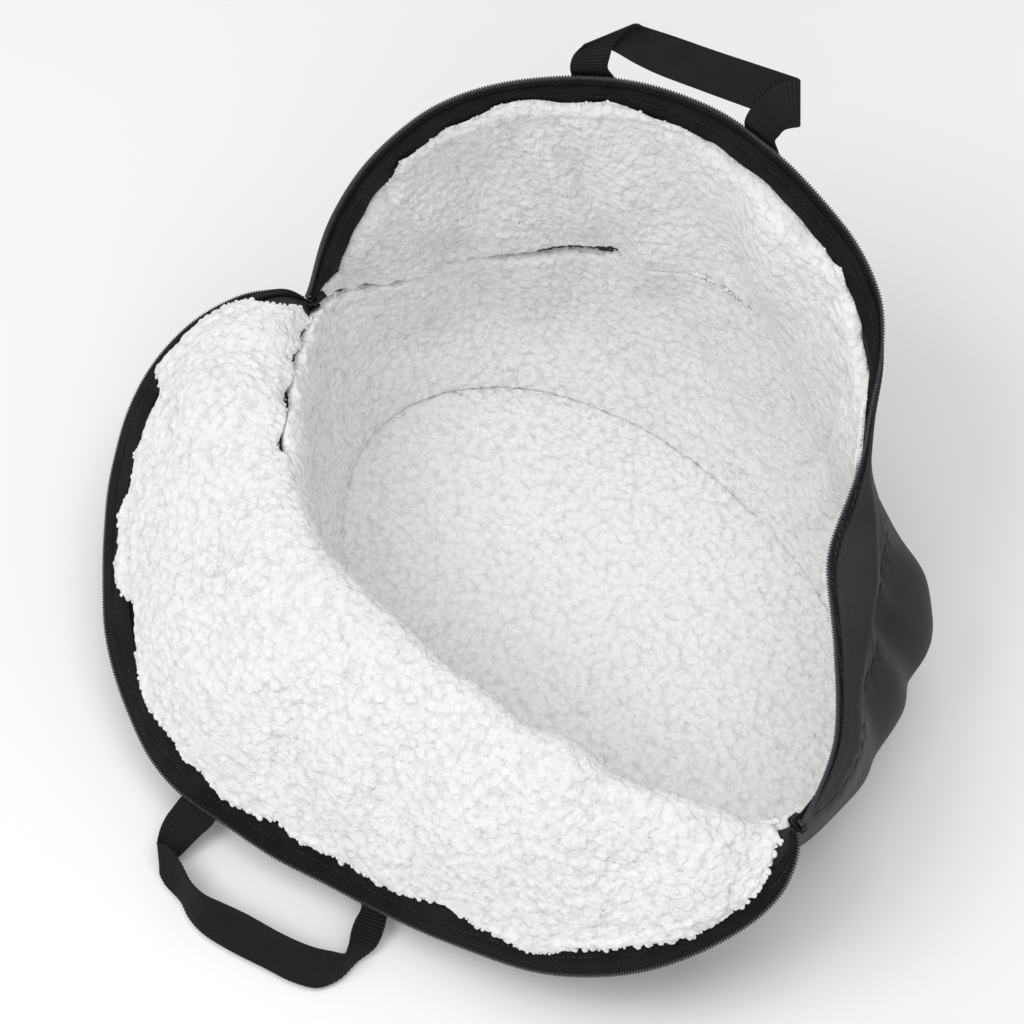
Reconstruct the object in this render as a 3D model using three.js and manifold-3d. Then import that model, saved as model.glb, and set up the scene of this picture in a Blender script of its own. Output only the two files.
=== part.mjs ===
// A soft zipped carry bag: black nylon outside, thick white sherpa fleece inside.
// It stands open on its base. The back half stands up, and the front half is folded out over its
// crest like a lip and slopes down towards the floor. The zip runs along both rims, from one end of
// the bag to the other, and each half carries a webbing handle near its rim.
// Millimetres. +X is along the bag from its left end to its right end, +Y is towards the back half
// and +Z is up. The origin is the centre of the base, on the surface the bag stands on.
import * as THREE from "three";
import { mergeVertices } from "three/addons/utils/BufferGeometryUtils.js";
import Module from "manifold-3d";

// Overall sizes
const bodyLength = 400; // nominal length of the tub along X; the sections swell past it
const bodyDepth = 310; // nominal depth of the tub along Y
const backHeight = 300; // height of the standing rim

// Cloth, fleece, zip and webbing
const clearance = 0.3; // between pieces that touch
const fleeceGap = 2; // between the cut edge of the fleece and the black facing
const coilGap = 1.9; // between the coil and the edge of its tape
const frontFootGap = 0.5; // between a handle's sewn foot and its panel, wider at the back, where the
const backFootGap = 1.9; // panel swells between its columns
const nylonThickness = 1.5;
const fleeceThickness = 6;
const facingThickness = 1.2;
const tapeThickness = 1;
const baseThickness = 2;
const tapeShow = 5; // zip tape seen outside, between the coil and the nylon's folded edge
const tapeWidth = 14; // whole zip tape, from the coil inwards
const facingWidth = 25; // black border seen inside, from the coil inwards
const taperRoom = 70; // where a half is narrower than this, its border narrows with it
const coilWidth = 3;
const coilSides = 6;
const webbingWidth = 25;
const webbingThickness = 2;

// Handles
const backHandleTurn = 109; // where the middle of the handle sits on the rim, degrees about Z
const frontHandleTurn = 279;
const backHandleSpan = 106; // between the middles of its two feet
const frontHandleSpan = 122;
const handleReach = 50; // how far a loop stands off the rim
const footTop = 8; // the sewn feet start this far below the rim
const footBottom = 28; // and end this far below it

// Zip sliders
const sliderLength = 11;
const sliderWidth = 7.6;
const sliderThickness = 4.6;
const sliderNose = 6; // width of the slider's narrow end
const bailWidth = 3.4; // the bail is the small bridge on top that carries a puller
const bailHeight = 3.2;
const bailWire = 1.3;
const sliderTilt = 38; // degrees: each slider's narrow end points down over the bag's end

// Where the two ends of the zip lie, degrees about Z
const leftEnd = 191;
const rightEnd = 349;

// The tub, one row for each section around it. foot, belly and seam are distances from the middle,
// as shares of half the length along X and half the depth along Y. bellyUp and seamUp are heights,
// as shares of backHeight. The seam is where the two halves are sewn on.
const tub = [
  { turn: -11, foot: 0.98, belly: 1.08, bellyUp: 0.2, seam: 1.15, seamUp: 0.405 },
  { turn: 8, foot: 0.97, belly: 1.08, bellyUp: 0.2, seam: 1.08, seamUp: 0.4 },
  { turn: 28, foot: 0.97, belly: 1.11, bellyUp: 0.22, seam: 0.99, seamUp: 0.43 },
  { turn: 46, foot: 0.98, belly: 1.185, bellyUp: 0.27, seam: 0.98, seamUp: 0.46 },
  { turn: 64, foot: 0.95, belly: 1.12, bellyUp: 0.27, seam: 1.03, seamUp: 0.48 },
  { turn: 90, foot: 0.9, belly: 1.06, bellyUp: 0.25, seam: 1.09, seamUp: 0.5 },
  { turn: 120, foot: 0.92, belly: 1.07, bellyUp: 0.24, seam: 1.09, seamUp: 0.53 },
  { turn: 150, foot: 0.97, belly: 1.1, bellyUp: 0.22, seam: 1.08, seamUp: 0.46 },
  { turn: 173, foot: 0.99, belly: 1.1, bellyUp: 0.2, seam: 1.1, seamUp: 0.41 },
  { turn: 191, foot: 0.98, belly: 1.08, bellyUp: 0.2, seam: 1.15, seamUp: 0.405 },
  { turn: 208, foot: 0.94, belly: 1.02, bellyUp: 0.22, seam: 1.07, seamUp: 0.43 },
  { turn: 229, foot: 0.88, belly: 0.97, bellyUp: 0.22, seam: 1.04, seamUp: 0.445 },
  { turn: 248, foot: 0.84, belly: 0.95, bellyUp: 0.22, seam: 1.0, seamUp: 0.445 },
  { turn: 270, foot: 0.82, belly: 0.9, bellyUp: 0.22, seam: 0.9, seamUp: 0.445 },
  { turn: 294, foot: 0.83, belly: 0.9, bellyUp: 0.22, seam: 0.9, seamUp: 0.445 },
  { turn: 316, foot: 0.88, belly: 0.96, bellyUp: 0.22, seam: 0.97, seamUp: 0.435 },
  { turn: 334, foot: 0.94, belly: 1.03, bellyUp: 0.2, seam: 1.07, seamUp: 0.415 },
];

// The front half, folded out. mid is halfway between the seam and the rim.
const frontHalf = [
  { turn: 191, swing: 0, mid: 1.167, midUp: 0.418, rim: 1.177, rimUp: 0.433 },
  { turn: 199, swing: -0.5, mid: 1.22, midUp: 0.445, rim: 1.371, rimUp: 0.407 },
  { turn: 211, swing: 0.5, mid: 1.29, midUp: 0.435, rim: 1.555, rimUp: 0.333 },
  { turn: 223, swing: 1.5, mid: 1.35, midUp: 0.41, rim: 1.655, rimUp: 0.25 },
  { turn: 235, swing: 1.5, mid: 1.38, midUp: 0.38, rim: 1.718, rimUp: 0.183 },
  { turn: 247, swing: 1, mid: 1.38, midUp: 0.355, rim: 1.776, rimUp: 0.12 },
  { turn: 259, swing: 0, mid: 1.35, midUp: 0.34, rim: 1.765, rimUp: 0.07 },
  { turn: 272, swing: -3.5, mid: 1.27, midUp: 0.33, rim: 1.645, rimUp: 0.055 },
  { turn: 286, swing: -5, mid: 1.2, midUp: 0.33, rim: 1.51, rimUp: 0.053 },
  { turn: 300, swing: -5, mid: 1.18, midUp: 0.335, rim: 1.435, rimUp: 0.07 },
  { turn: 312, swing: -4, mid: 1.18, midUp: 0.345, rim: 1.42, rimUp: 0.107 },
  { turn: 322, swing: -3, mid: 1.19, midUp: 0.35, rim: 1.395, rimUp: 0.165 },
  { turn: 333, swing: -1, mid: 1.2, midUp: 0.38, rim: 1.342, rimUp: 0.26 },
  { turn: 342, swing: 0, mid: 1.19, midUp: 0.4, rim: 1.28, rimUp: 0.34 },
  { turn: 349, swing: 0, mid: 1.167, midUp: 0.418, rim: 1.177, rimUp: 0.433 },
];

// The back half, standing. It leans in at the right, where its rim turns over the opening.
const backHalf = [
  { turn: -11, swing: 0, mid: 1.167, midUp: 0.418, rim: 1.177, rimUp: 0.433 },
  { turn: 3, swing: 1, mid: 1.07, midUp: 0.44, rim: 1.025, rimUp: 0.467 },
  { turn: 19, swing: 3, mid: 0.97, midUp: 0.47, rim: 0.86, rimUp: 0.487 },
  { turn: 33, swing: 9, mid: 0.93, midUp: 0.5, rim: 0.788, rimUp: 0.527 },
  { turn: 51, swing: 12, mid: 0.97, midUp: 0.58, rim: 0.975, rimUp: 0.66 },
  { turn: 69, swing: 10, mid: 1.06, midUp: 0.67, rim: 1.157, rimUp: 0.82 },
  { turn: 89.5, swing: 8, mid: 1.1, midUp: 0.75, rim: 1.13, rimUp: 0.95 },
  { turn: 107, swing: 8, mid: 1.11, midUp: 0.79, rim: 1.105, rimUp: 1.0 },
  { turn: 127, swing: 12, mid: 1.08, midUp: 0.79, rim: 1.038, rimUp: 1.0 },
  { turn: 151, swing: 16, mid: 1.08, midUp: 0.71, rim: 1.055, rimUp: 0.9 },
  { turn: 173, swing: 12, mid: 1.11, midUp: 0.56, rim: 1.11, rimUp: 0.7 },
  { turn: 191, swing: 0, mid: 1.167, midUp: 0.418, rim: 1.177, rimUp: 0.433 },
];

// Soft dents and swells, one row for each. turn and spread are degrees about Z, depth is a share of
// backHeight, inwards where it is positive, and low and high are the heights between which it shows,
// counted 0 at the foot, 1 at the seam and 2 at the rim.
const folds = [
  { turn: 20, spread: 5, depth: 0.02, low: 0.1, high: 1.5 },
  { turn: 36, spread: 4, depth: 0.022, low: 0.1, high: 1.4 },
  { turn: 52, spread: 5, depth: -0.014, low: 0.3, high: 1.6 },
  { turn: 66, spread: 5, depth: 0.018, low: 0.2, high: 1.7 },
  { turn: 82, spread: 6, depth: 0.014, low: 0.3, high: 1.8 },
  { turn: 109, spread: 6, depth: -0.01, low: 0.3, high: 1.8 },
  { turn: 143, spread: 6, depth: 0.016, low: 0.2, high: 1.7 },
  { turn: 168, spread: 5, depth: 0.012, low: 0.1, high: 1.5 },
  { turn: 218, spread: 6, depth: 0.012, low: 0.2, high: 1.7 },
  { turn: 240, spread: 7, depth: -0.012, low: 0.9, high: 1.9 },
  { turn: 262, spread: 7, depth: 0.014, low: 0.9, high: 1.9 },
  { turn: 288, spread: 8, depth: -0.012, low: 0.9, high: 1.9 },
  { turn: 310, spread: 6, depth: 0.012, low: 0.2, high: 1.8 },
];

// The free loop of each handle, from its left foot to its right one. along is a share of the span;
// out and up are shares of handleReach, from the rim. The last three columns give the direction
// across the webbing, in the same three directions.
const backLoop = [
  { along: 0, out: 0.08, up: 0.02, acrossAlong: 1, acrossOut: 0, acrossUp: 0 },
  { along: -0.01, out: 0.16, up: 0.2, acrossAlong: 0.87, acrossOut: 0.3, acrossUp: 0.3 },
  { along: 0.09, out: 0.22, up: 0.38, acrossAlong: 0.83, acrossOut: -0.44, acrossUp: -0.33 },
  { along: 0.27, out: 0.29, up: 0.46, acrossAlong: 0.14, acrossOut: -0.82, acrossUp: -0.55 },
  { along: 0.58, out: 0.27, up: 0.47, acrossAlong: 0, acrossOut: -0.84, acrossUp: -0.54 },
  { along: 0.88, out: 0.27, up: 0.46, acrossAlong: -0.2, acrossOut: -0.82, acrossUp: -0.5 },
  { along: 1.04, out: 0.3, up: 0.38, acrossAlong: -0.72, acrossOut: -0.58, acrossUp: -0.38 },
  { along: 1.04, out: 0.2, up: 0.16, acrossAlong: -0.95, acrossOut: -0.2, acrossUp: 0.1 },
  { along: 1, out: 0.08, up: 0.02, acrossAlong: -1, acrossOut: 0, acrossUp: 0 },
];
const frontLoop = [
  { along: 0, out: 0.04, up: -0.1, acrossAlong: 1, acrossOut: 0, acrossUp: 0 },
  { along: -0.03, out: 0.3, up: -0.08, acrossAlong: 1, acrossOut: 0, acrossUp: 0.1 },
  { along: -0.01, out: 0.6, up: -0.06, acrossAlong: 0.85, acrossOut: 0.05, acrossUp: 0.5 },
  { along: 0.11, out: 0.83, up: -0.06, acrossAlong: 0.85, acrossOut: -0.1, acrossUp: 0.5 },
  { along: 0.3, out: 0.95, up: -0.07, acrossAlong: 0.5, acrossOut: -0.55, acrossUp: 0.62 },
  { along: 0.6, out: 1.0, up: -0.08, acrossAlong: 0, acrossOut: -0.78, acrossUp: 0.6 },
  { along: 0.86, out: 0.94, up: -0.08, acrossAlong: -0.3, acrossOut: -0.72, acrossUp: 0.6 },
  { along: 1.0, out: 0.7, up: -0.06, acrossAlong: -0.7, acrossOut: -0.3, acrossUp: 0.6 },
  { along: 1.03, out: 0.32, up: -0.08, acrossAlong: -0.9, acrossOut: -0.1, acrossUp: 0.3 },
  { along: 1, out: 0.04, up: -0.1, acrossAlong: -1, acrossOut: 0, acrossUp: 0 },
];

// Mesh fineness
const frontColumns = 32;
const backColumns = 36;
const endMargin = 2.4; // degrees between a zip end and the first column of a half
const fleeceMargin = 3.4; // the fleece starts a little further in
const tubRows = [0, 0.12, 0.35, 0.62, 0.84, 1];
const halfRows = [0, 0.3, 0.64, 1];
const handleSteps = 30;

const black = { color: 0x1c1c1d, roughness: 0.85, metalness: 0 };
const ribbedBlack = { color: 0x151516, roughness: 0.8, metalness: 0 };
const white = { color: 0xe9e8e6, roughness: 1, metalness: 0 };
const darkMetal = { color: 0x2a2a2c, roughness: 0.35, metalness: 0.9 };

const degree = Math.PI / 180;

// Smooth value of one column of a table at a turn: a cubic through the rows, straight past its ends.
function columnAt(rows, name, turn) {
  let i = rows.findIndex((row) => row.turn > turn) - 1;
  if (i < 0) i = turn < rows[0].turn ? 0 : rows.length - 2;
  const slope = (k) => {
    const a = rows[Math.max(k - 1, 0)];
    const b = rows[Math.min(k + 1, rows.length - 1)];
    return (b[name] - a[name]) / (b.turn - a.turn);
  };
  const from = rows[i];
  const to = rows[i + 1];
  const width = to.turn - from.turn;
  const t = (turn - from.turn) / width;
  const value = from[name] * (2 * t ** 3 - 3 * t ** 2 + 1) + to[name] * (3 * t ** 2 - 2 * t ** 3);
  return value + width * (slope(i) * (t ** 3 - 2 * t ** 2 + t) + slope(i + 1) * (t ** 3 - t ** 2));
}

// The tub closes on itself, so its table is continued for three rows past both ends.
const turned = (row, by) => ({ ...row, turn: row.turn + by });
const closedTub = [
  ...tub.slice(-3).map((row) => turned(row, -360)),
  ...tub,
  ...tub.slice(0, 3).map((row) => turned(row, 360)),
];

// A point at a turn, a share of the half sizes out from the middle and a share of the height up.
function placeAt(turn, share, up) {
  const angle = turn * degree;
  const x = (bodyLength / 2) * share * Math.cos(angle);
  const y = (bodyDepth / 2) * share * Math.sin(angle);
  return new THREE.Vector3(x, y, backHeight * up);
}

// The outer face of the bag at one turn: a curve from its foot over belly and seam to the rim.
function sectionAt(half, turn) {
  const ringTurn = turn > rightEnd ? turn - 360 : turn;
  const ring = (name) => columnAt(closedTub, name, ringTurn);
  const upper = (name) => columnAt(half, name, turn);
  const swing = upper("swing");
  const points = [
    placeAt(turn, ring("foot"), 0),
    placeAt(turn, ring("belly"), ring("bellyUp")),
    placeAt(turn, ring("seam"), ring("seamUp")),
    placeAt(turn + swing / 2, upper("mid"), upper("midUp")),
    placeAt(turn + swing, upper("rim"), upper("rimUp")),
  ];
  const curve = new THREE.CatmullRomCurve3(points, false, "centripetal");
  curve.arcLengthDivisions = 240;
  const lengths = curve.getLengths();
  const seamLength = lengths[curve.arcLengthDivisions / 2];
  const length = lengths[curve.arcLengthDivisions];
  return { curve, seamLength, length, turn };
}

// How far the folds push the outer face in at a turn and a height, 0 at the foot to 2 at the rim.
function foldDepth(turn, height) {
  let depth = 0;
  for (const fold of folds) {
    const away = Math.abs(((turn - fold.turn + 540) % 360) - 180) / fold.spread;
    if (away > 3 || height <= fold.low || height >= fold.high) continue;
    const along = (height - fold.low) / (fold.high - fold.low);
    depth += backHeight * fold.depth * Math.exp(-away * away) * Math.sin(Math.PI * along) ** 2;
  }
  return depth;
}

function plainPoint(section, line) {
  const length = line(section);
  return section.curve.getPointAt(THREE.MathUtils.clamp(length / section.length, 0, 1));
}

// The outer face on one line of a column, and the unit normal there, pointing into the fleece side.
function surfaceAt(half, turn, line) {
  const low = half[0].turn;
  const high = half[half.length - 1].turn;
  const step = 0.4;
  const here = sectionAt(half, turn);
  const before = sectionAt(half, Math.max(turn - step, low));
  const after = sectionAt(half, Math.min(turn + step, high));
  const around = plainPoint(after, line).sub(plainPoint(before, line));
  const share = THREE.MathUtils.clamp(line(here) / here.length, 0.002, 0.998);
  const upwards = here.curve.getTangentAt(share);
  const inward = upwards.clone().cross(around).normalize();
  const reached = line(here);
  const height =
    reached < here.seamLength
      ? reached / here.seamLength
      : 1 + (reached - here.seamLength) / (here.length - here.seamLength);
  const point = plainPoint(here, line).addScaledVector(inward, foldDepth(turn, height));
  return { point, inward, upwards, around: around.normalize() };
}

// Lines along a section, as lengths from its foot. Near the rim they are counted from the coil.
const taper = (section) => Math.min(1, (section.length - section.seamLength) / taperRoom);
const fromCoil = (width) => (section) => section.length - coilWidth - width * taper(section);
const tubLine = (share) => (section) => share * section.seamLength - (share === 1 ? clearance / 2 : 0);
const liningLift = baseThickness + 2 * clearance + fleeceThickness;
const liningFoot = (section) => liningLift / section.curve.getTangentAt(0).z;
const tubLiningLine = (share) => (section) =>
  share === 0 ? liningFoot(section) : tubLine(share)(section);
const halfLine = (share) => (section) => {
  const start = section.seamLength + clearance / 2;
  const end = fromCoil(facingWidth)(section) - fleeceGap;
  return start + share * (end - start);
};
const facingEdge = fromCoil(facingWidth);
const tapeEdge = fromCoil(tapeWidth);
const nylonEdge = fromCoil(tapeShow);
const coilEdge = (section) => section.length - coilWidth - coilGap;

// Turns of the columns of a half, with margins at both zip ends.
function columnTurns(half, count, margin) {
  const low = half[0].turn;
  const high = half[half.length - 1].turn;
  const turns = [low + margin];
  if (margin < fleeceMargin) turns.push(low + fleeceMargin);
  for (let i = 1; i < count; i += 1) turns.push(low + ((high - low) * i) / count);
  if (margin < fleeceMargin) turns.push(high - fleeceMargin);
  turns.push(high - margin);
  return turns;
}

// A thin closed solid between two offset faces of a grid of surface points. It is open or wraps
// round along its columns, and its faces are turned to point outwards.
function sheetSolid(columns, outside, inside, wraps) {
  const rows = columns[0].length;
  const count = columns.length;
  const positions = [];
  for (const depth of [outside, inside]) {
    for (const column of columns) {
      for (const spot of column) {
        const point = spot.point.clone().addScaledVector(spot.inward, depth);
        positions.push(point.x, point.y, Math.max(point.z, 0));
      }
    }
  }
  const at = (side, column, row) => side * count * rows + (column % count) * rows + row;
  const faces = [];
  const quad = (a, b, c, d) => faces.push(a, b, c, a, c, d);
  const spans = wraps ? count : count - 1;
  for (let i = 0; i < spans; i += 1) {
    for (let j = 0; j < rows - 1; j += 1) {
      quad(at(0, i, j), at(0, i + 1, j), at(0, i + 1, j + 1), at(0, i, j + 1));
      quad(at(1, i, j), at(1, i, j + 1), at(1, i + 1, j + 1), at(1, i + 1, j));
    }
    quad(at(0, i, 0), at(1, i, 0), at(1, i + 1, 0), at(0, i + 1, 0));
    const top = rows - 1;
    quad(at(0, i, top), at(0, i + 1, top), at(1, i + 1, top), at(1, i, top));
  }
  if (!wraps) {
    for (let j = 0; j < rows - 1; j += 1) {
      quad(at(0, 0, j), at(0, 0, j + 1), at(1, 0, j + 1), at(1, 0, j));
      const end = count - 1;
      quad(at(0, end, j), at(1, end, j), at(1, end, j + 1), at(0, end, j + 1));
    }
  }
  return facingOut(positions, faces);
}

// A geometry from positions and faces, turned inside out if its volume comes out negative.
function facingOut(positions, faces) {
  const corner = (i) => new THREE.Vector3().fromArray(positions, 3 * faces[i]);
  let volume = 0;
  for (let i = 0; i < faces.length; i += 3) {
    volume += corner(i).dot(corner(i + 1).cross(corner(i + 2)));
  }
  if (volume < 0) {
    for (let i = 0; i < faces.length; i += 3) {
      const kept = faces[i];
      faces[i] = faces[i + 1];
      faces[i + 1] = kept;
    }
  }
  const geometry = new THREE.BufferGeometry();
  geometry.setAttribute("position", new THREE.Float32BufferAttribute(positions, 3));
  geometry.setIndex(faces);
  geometry.computeVertexNormals();
  return geometry;
}

const group = new THREE.Group();
function addPiece(name, geometry, finish) {
  const mesh = new THREE.Mesh(geometry, new THREE.MeshStandardMaterial(finish));
  mesh.name = name;
  group.add(mesh);
  return mesh;
}

// Columns of surface points of one half, on the given lines.
const gridOf = (half, turns, lines) =>
  turns.map((turn) => lines.map((line) => surfaceAt(half, turn, line)));

// The tub: the wall all round, from the floor up to the seam that the two halves are sewn to.
const frontTurns = columnTurns(frontHalf, frontColumns, endMargin);
const backTurns = columnTurns(backHalf, backColumns, endMargin);
const ringOf = (lines) => [
  ...gridOf(backHalf, backTurns, lines),
  ...gridOf(frontHalf, frontTurns, lines),
];
const ringGrid = ringOf(tubRows.map(tubLine));
addPiece("tub_wall", sheetSolid(ringGrid, 0, nylonThickness, true), black);

const liningStart = nylonThickness + clearance;
const liningEnd = liningStart + fleeceThickness;
const liningGrid = ringOf(tubRows.map(tubLiningLine));
addPiece("tub_lining", sheetSolid(liningGrid, liningStart, liningEnd, true), white);

// The base: a flat nylon panel inside the wall's foot, and the fleece floor that lies on it.
function floorPlate(inset, from, to) {
  const outline = ringGrid.map((column) => {
    const { point, inward } = column[0];
    const level = new THREE.Vector3(inward.x, inward.y, 0);
    const slant = level.length();
    return point.clone().addScaledVector(level.normalize(), inset / slant + clearance);
  });
  const count = outline.length;
  const positions = [];
  for (const height of [from, to]) {
    for (const point of outline) positions.push(point.x, point.y, height);
    positions.push(0, 0, height);
  }
  const faces = [];
  for (let i = 0; i < count; i += 1) {
    const next = (i + 1) % count;
    const lid = count + 1;
    faces.push(i, next, lid + next, i, lid + next, lid + i);
    faces.push(next, i, count, lid + i, lid + next, lid + count);
  }
  return facingOut(positions, faces);
}
addPiece("base_panel", floorPlate(nylonThickness, 0, baseThickness), black);
const floorFrom = baseThickness + clearance;
addPiece("base_lining", floorPlate(nylonThickness, floorFrom, floorFrom + fleeceThickness), white);

// Each half: an outer nylon panel, its fleece, the black facing inside the rim, the zip tape
// between panel and facing, and the coil along the edge.
function coilSolid(half, turns) {
  const middle = (section) => section.length - coilWidth / 2;
  const depth = nylonThickness + clearance + tapeThickness / 2;
  const spots = turns.map((turn) => surfaceAt(half, turn, middle));
  const positions = [];
  for (const { point, inward, upwards } of spots) {
    const centre = point.clone().addScaledVector(inward, depth);
    for (let k = 0; k < coilSides; k += 1) {
      const angle = (2 * Math.PI * (k + 0.5)) / coilSides;
      const rim = centre.clone().addScaledVector(upwards, (coilWidth / 2) * Math.cos(angle));
      rim.addScaledVector(inward, (coilWidth / 2) * Math.sin(angle));
      positions.push(rim.x, rim.y, rim.z);
    }
  }
  const faces = [];
  const at = (i, k) => i * coilSides + (k % coilSides);
  for (let i = 0; i < spots.length - 1; i += 1) {
    for (let k = 0; k < coilSides; k += 1) {
      faces.push(at(i, k), at(i + 1, k), at(i + 1, k + 1), at(i, k), at(i + 1, k + 1), at(i, k + 1));
    }
  }
  const last = spots.length - 1;
  for (let k = 1; k < coilSides - 1; k += 1) {
    faces.push(at(0, 0), at(0, k), at(0, k + 1), at(last, 0), at(last, k + 1), at(last, k));
  }
  return facingOut(positions, faces);
}

for (const [side, half, turns] of [
  ["front", frontHalf, frontTurns],
  ["back", backHalf, backTurns],
]) {
  const panelLines = [...halfRows.map(halfLine), tapeEdge, nylonEdge];
  addPiece(side + "_panel", sheetSolid(gridOf(half, turns, panelLines), 0, nylonThickness, false), black);

  const fleeceTurns = turns.slice(1, -1);
  const fleece = gridOf(half, fleeceTurns, halfRows.map(halfLine));
  addPiece(side + "_lining", sheetSolid(fleece, liningStart, liningEnd, false), white);

  const tapeFrom = nylonThickness + clearance;
  const tape = gridOf(half, turns, [tapeEdge, nylonEdge, coilEdge]);
  addPiece(side + "_zip_tape", sheetSolid(tape, tapeFrom, tapeFrom + tapeThickness, false), ribbedBlack);

  const facingFrom = tapeFrom + tapeThickness + clearance;
  const facing = gridOf(half, turns, [facingEdge, tapeEdge, nylonEdge]);
  addPiece(side + "_facing", sheetSolid(facing, facingFrom, facingFrom + facingThickness, false), black);

  addPiece(side + "_zip_coil", coilSolid(half, turns), ribbedBlack);
}

// Handles: one length of webbing each, its two ends sewn flat to the outside of a half.
const rimLine = (section) => section.length;
const footLine = (below) => (section) => section.length - below;

function webbingSolid(stations) {
  const places = new THREE.CatmullRomCurve3(stations.map((s) => s.place), false, "centripetal");
  const positions = [];
  for (let i = 0; i <= handleSteps; i += 1) {
    const t = i / handleSteps;
    const f = t * (stations.length - 1);
    const k = Math.min(Math.floor(f), stations.length - 2);
    const across = stations[k].across.clone().lerp(stations[k + 1].across, f - k);
    const centre = places.getPoint(t);
    const along = places.getTangent(t);
    across.addScaledVector(along, -across.dot(along)).normalize();
    const through = along.clone().cross(across);
    for (const [a, b] of [
      [-1, -1],
      [1, -1],
      [1, 1],
      [-1, 1],
    ]) {
      const corner = centre.clone().addScaledVector(across, (a * webbingWidth) / 2);
      corner.addScaledVector(through, (b * webbingThickness) / 2);
      positions.push(corner.x, corner.y, Math.max(corner.z, 0));
    }
  }
  const faces = [];
  const at = (i, k) => 4 * i + (k % 4);
  for (let i = 0; i < handleSteps; i += 1) {
    for (let k = 0; k < 4; k += 1) {
      faces.push(at(i, k), at(i + 1, k), at(i + 1, k + 1), at(i, k), at(i + 1, k + 1), at(i, k + 1));
    }
  }
  faces.push(at(0, 0), at(0, 1), at(0, 2), at(0, 0), at(0, 2), at(0, 3));
  const end = handleSteps;
  faces.push(at(end, 0), at(end, 2), at(end, 1), at(end, 0), at(end, 3), at(end, 2));
  return facingOut(positions, faces);
}

// leftwards is 1 where turns grow from the left foot to the right one, and -1 on the back half.
function handleSolid(half, middleTurn, span, footGap, loop, leftwards) {
  const step = 1;
  const near = surfaceAt(half, middleTurn - step, rimLine).point;
  const far = surfaceAt(half, middleTurn + step, rimLine).point;
  const halfTurn = (span / near.distanceTo(far)) * step;
  const leftTurn = middleTurn - leftwards * halfTurn;
  const rightTurn = middleTurn + leftwards * halfTurn;
  const left = surfaceAt(half, leftTurn, rimLine).point;
  const right = surfaceAt(half, rightTurn, rimLine).point;
  const along = right.clone().sub(left).setZ(0).normalize();
  const up = new THREE.Vector3(0, 0, 1);
  const out = up.clone().cross(along).multiplyScalar(-leftwards);
  const edgeTurn = (halfTurn * webbingWidth) / span;
  const footStations = (turn, sign, belows) =>
    belows.map((below) => {
      const spot = surfaceAt(half, turn, footLine(below));
      const swells = [-1, -0.5, 0.5, 1].map((share) => {
        const beside = surfaceAt(half, turn + share * edgeTurn, footLine(below)).point;
        return spot.point.clone().sub(beside).dot(spot.inward);
      });
      const lift = footGap + webbingThickness / 2 + Math.max(0, ...swells);
      const place = spot.point.addScaledVector(spot.inward, -lift);
      return { place, across: spot.around.multiplyScalar(sign * leftwards) };
    });
  const free = loop.map((row) => {
    const place = left.clone().lerp(right, row.along);
    place.addScaledVector(out, handleReach * row.out);
    place.addScaledVector(up, handleReach * row.up);
    const across = along.clone().multiplyScalar(row.acrossAlong);
    across.addScaledVector(out, row.acrossOut).addScaledVector(up, row.acrossUp);
    return { place, across: across.normalize() };
  });
  const belows = [footBottom, (footBottom + footTop) / 2, footTop];
  const stations = [
    ...footStations(leftTurn, 1, belows),
    ...free,
    ...footStations(rightTurn, -1, belows.slice().reverse()),
  ];
  return webbingSolid(stations);
}
const backHandle = handleSolid(backHalf, backHandleTurn, backHandleSpan, backFootGap, backLoop, -1);
addPiece("back_handle", backHandle, ribbedBlack);
const frontHandle = handleSolid(frontHalf, frontHandleTurn, frontHandleSpan, frontFootGap, frontLoop, 1);
addPiece("front_handle", frontHandle, ribbedBlack);

// Zip sliders: a wedge-shaped body with a bail bridging its top, cut by a boolean so that the bail
// is open underneath.
const manifold = await Module();
manifold.setup();
function toManifold(geometry) {
  const bare = geometry.index ? geometry.toNonIndexed() : geometry.clone();
  bare.deleteAttribute("normal");
  bare.deleteAttribute("uv");
  const merged = mergeVertices(bare, 1e-4);
  const vertProperties = merged.attributes.position.array;
  const triVerts = new Uint32Array(merged.index.array);
  return new manifold.Manifold(new manifold.Mesh({ numProp: 3, vertProperties, triVerts }));
}
function fromManifold(solid) {
  const { vertProperties, triVerts } = solid.getMesh();
  return facingOut(Array.from(vertProperties), Array.from(triVerts));
}

function sliderGeometry() {
  const bodyShape = new THREE.Shape();
  bodyShape.moveTo(-sliderLength / 2, -sliderWidth / 2);
  bodyShape.lineTo(0, -sliderWidth / 2);
  bodyShape.lineTo(sliderLength / 2, -sliderNose / 2);
  bodyShape.lineTo(sliderLength / 2, sliderNose / 2);
  bodyShape.lineTo(0, sliderWidth / 2);
  bodyShape.lineTo(-sliderLength / 2, sliderWidth / 2);
  bodyShape.closePath();
  const body = new THREE.ExtrudeGeometry(bodyShape, { depth: sliderThickness, bevelEnabled: false });
  body.translate(0, 0, -sliderThickness / 2);
  const bailLength = sliderLength * 0.7;
  const bridge = new THREE.BoxGeometry(bailLength, bailWidth, bailHeight + 1);
  bridge.translate(0, 0, sliderThickness / 2 + (bailHeight - 1) / 2);
  const window = new THREE.BoxGeometry(bailLength - 2 * bailWire, bailWidth + 2, bailHeight - bailWire);
  window.translate(0, 0, sliderThickness / 2 + (bailHeight - bailWire) / 2);
  return fromManifold(toManifold(body).add(toManifold(bridge)).subtract(toManifold(window)));
}

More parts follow.
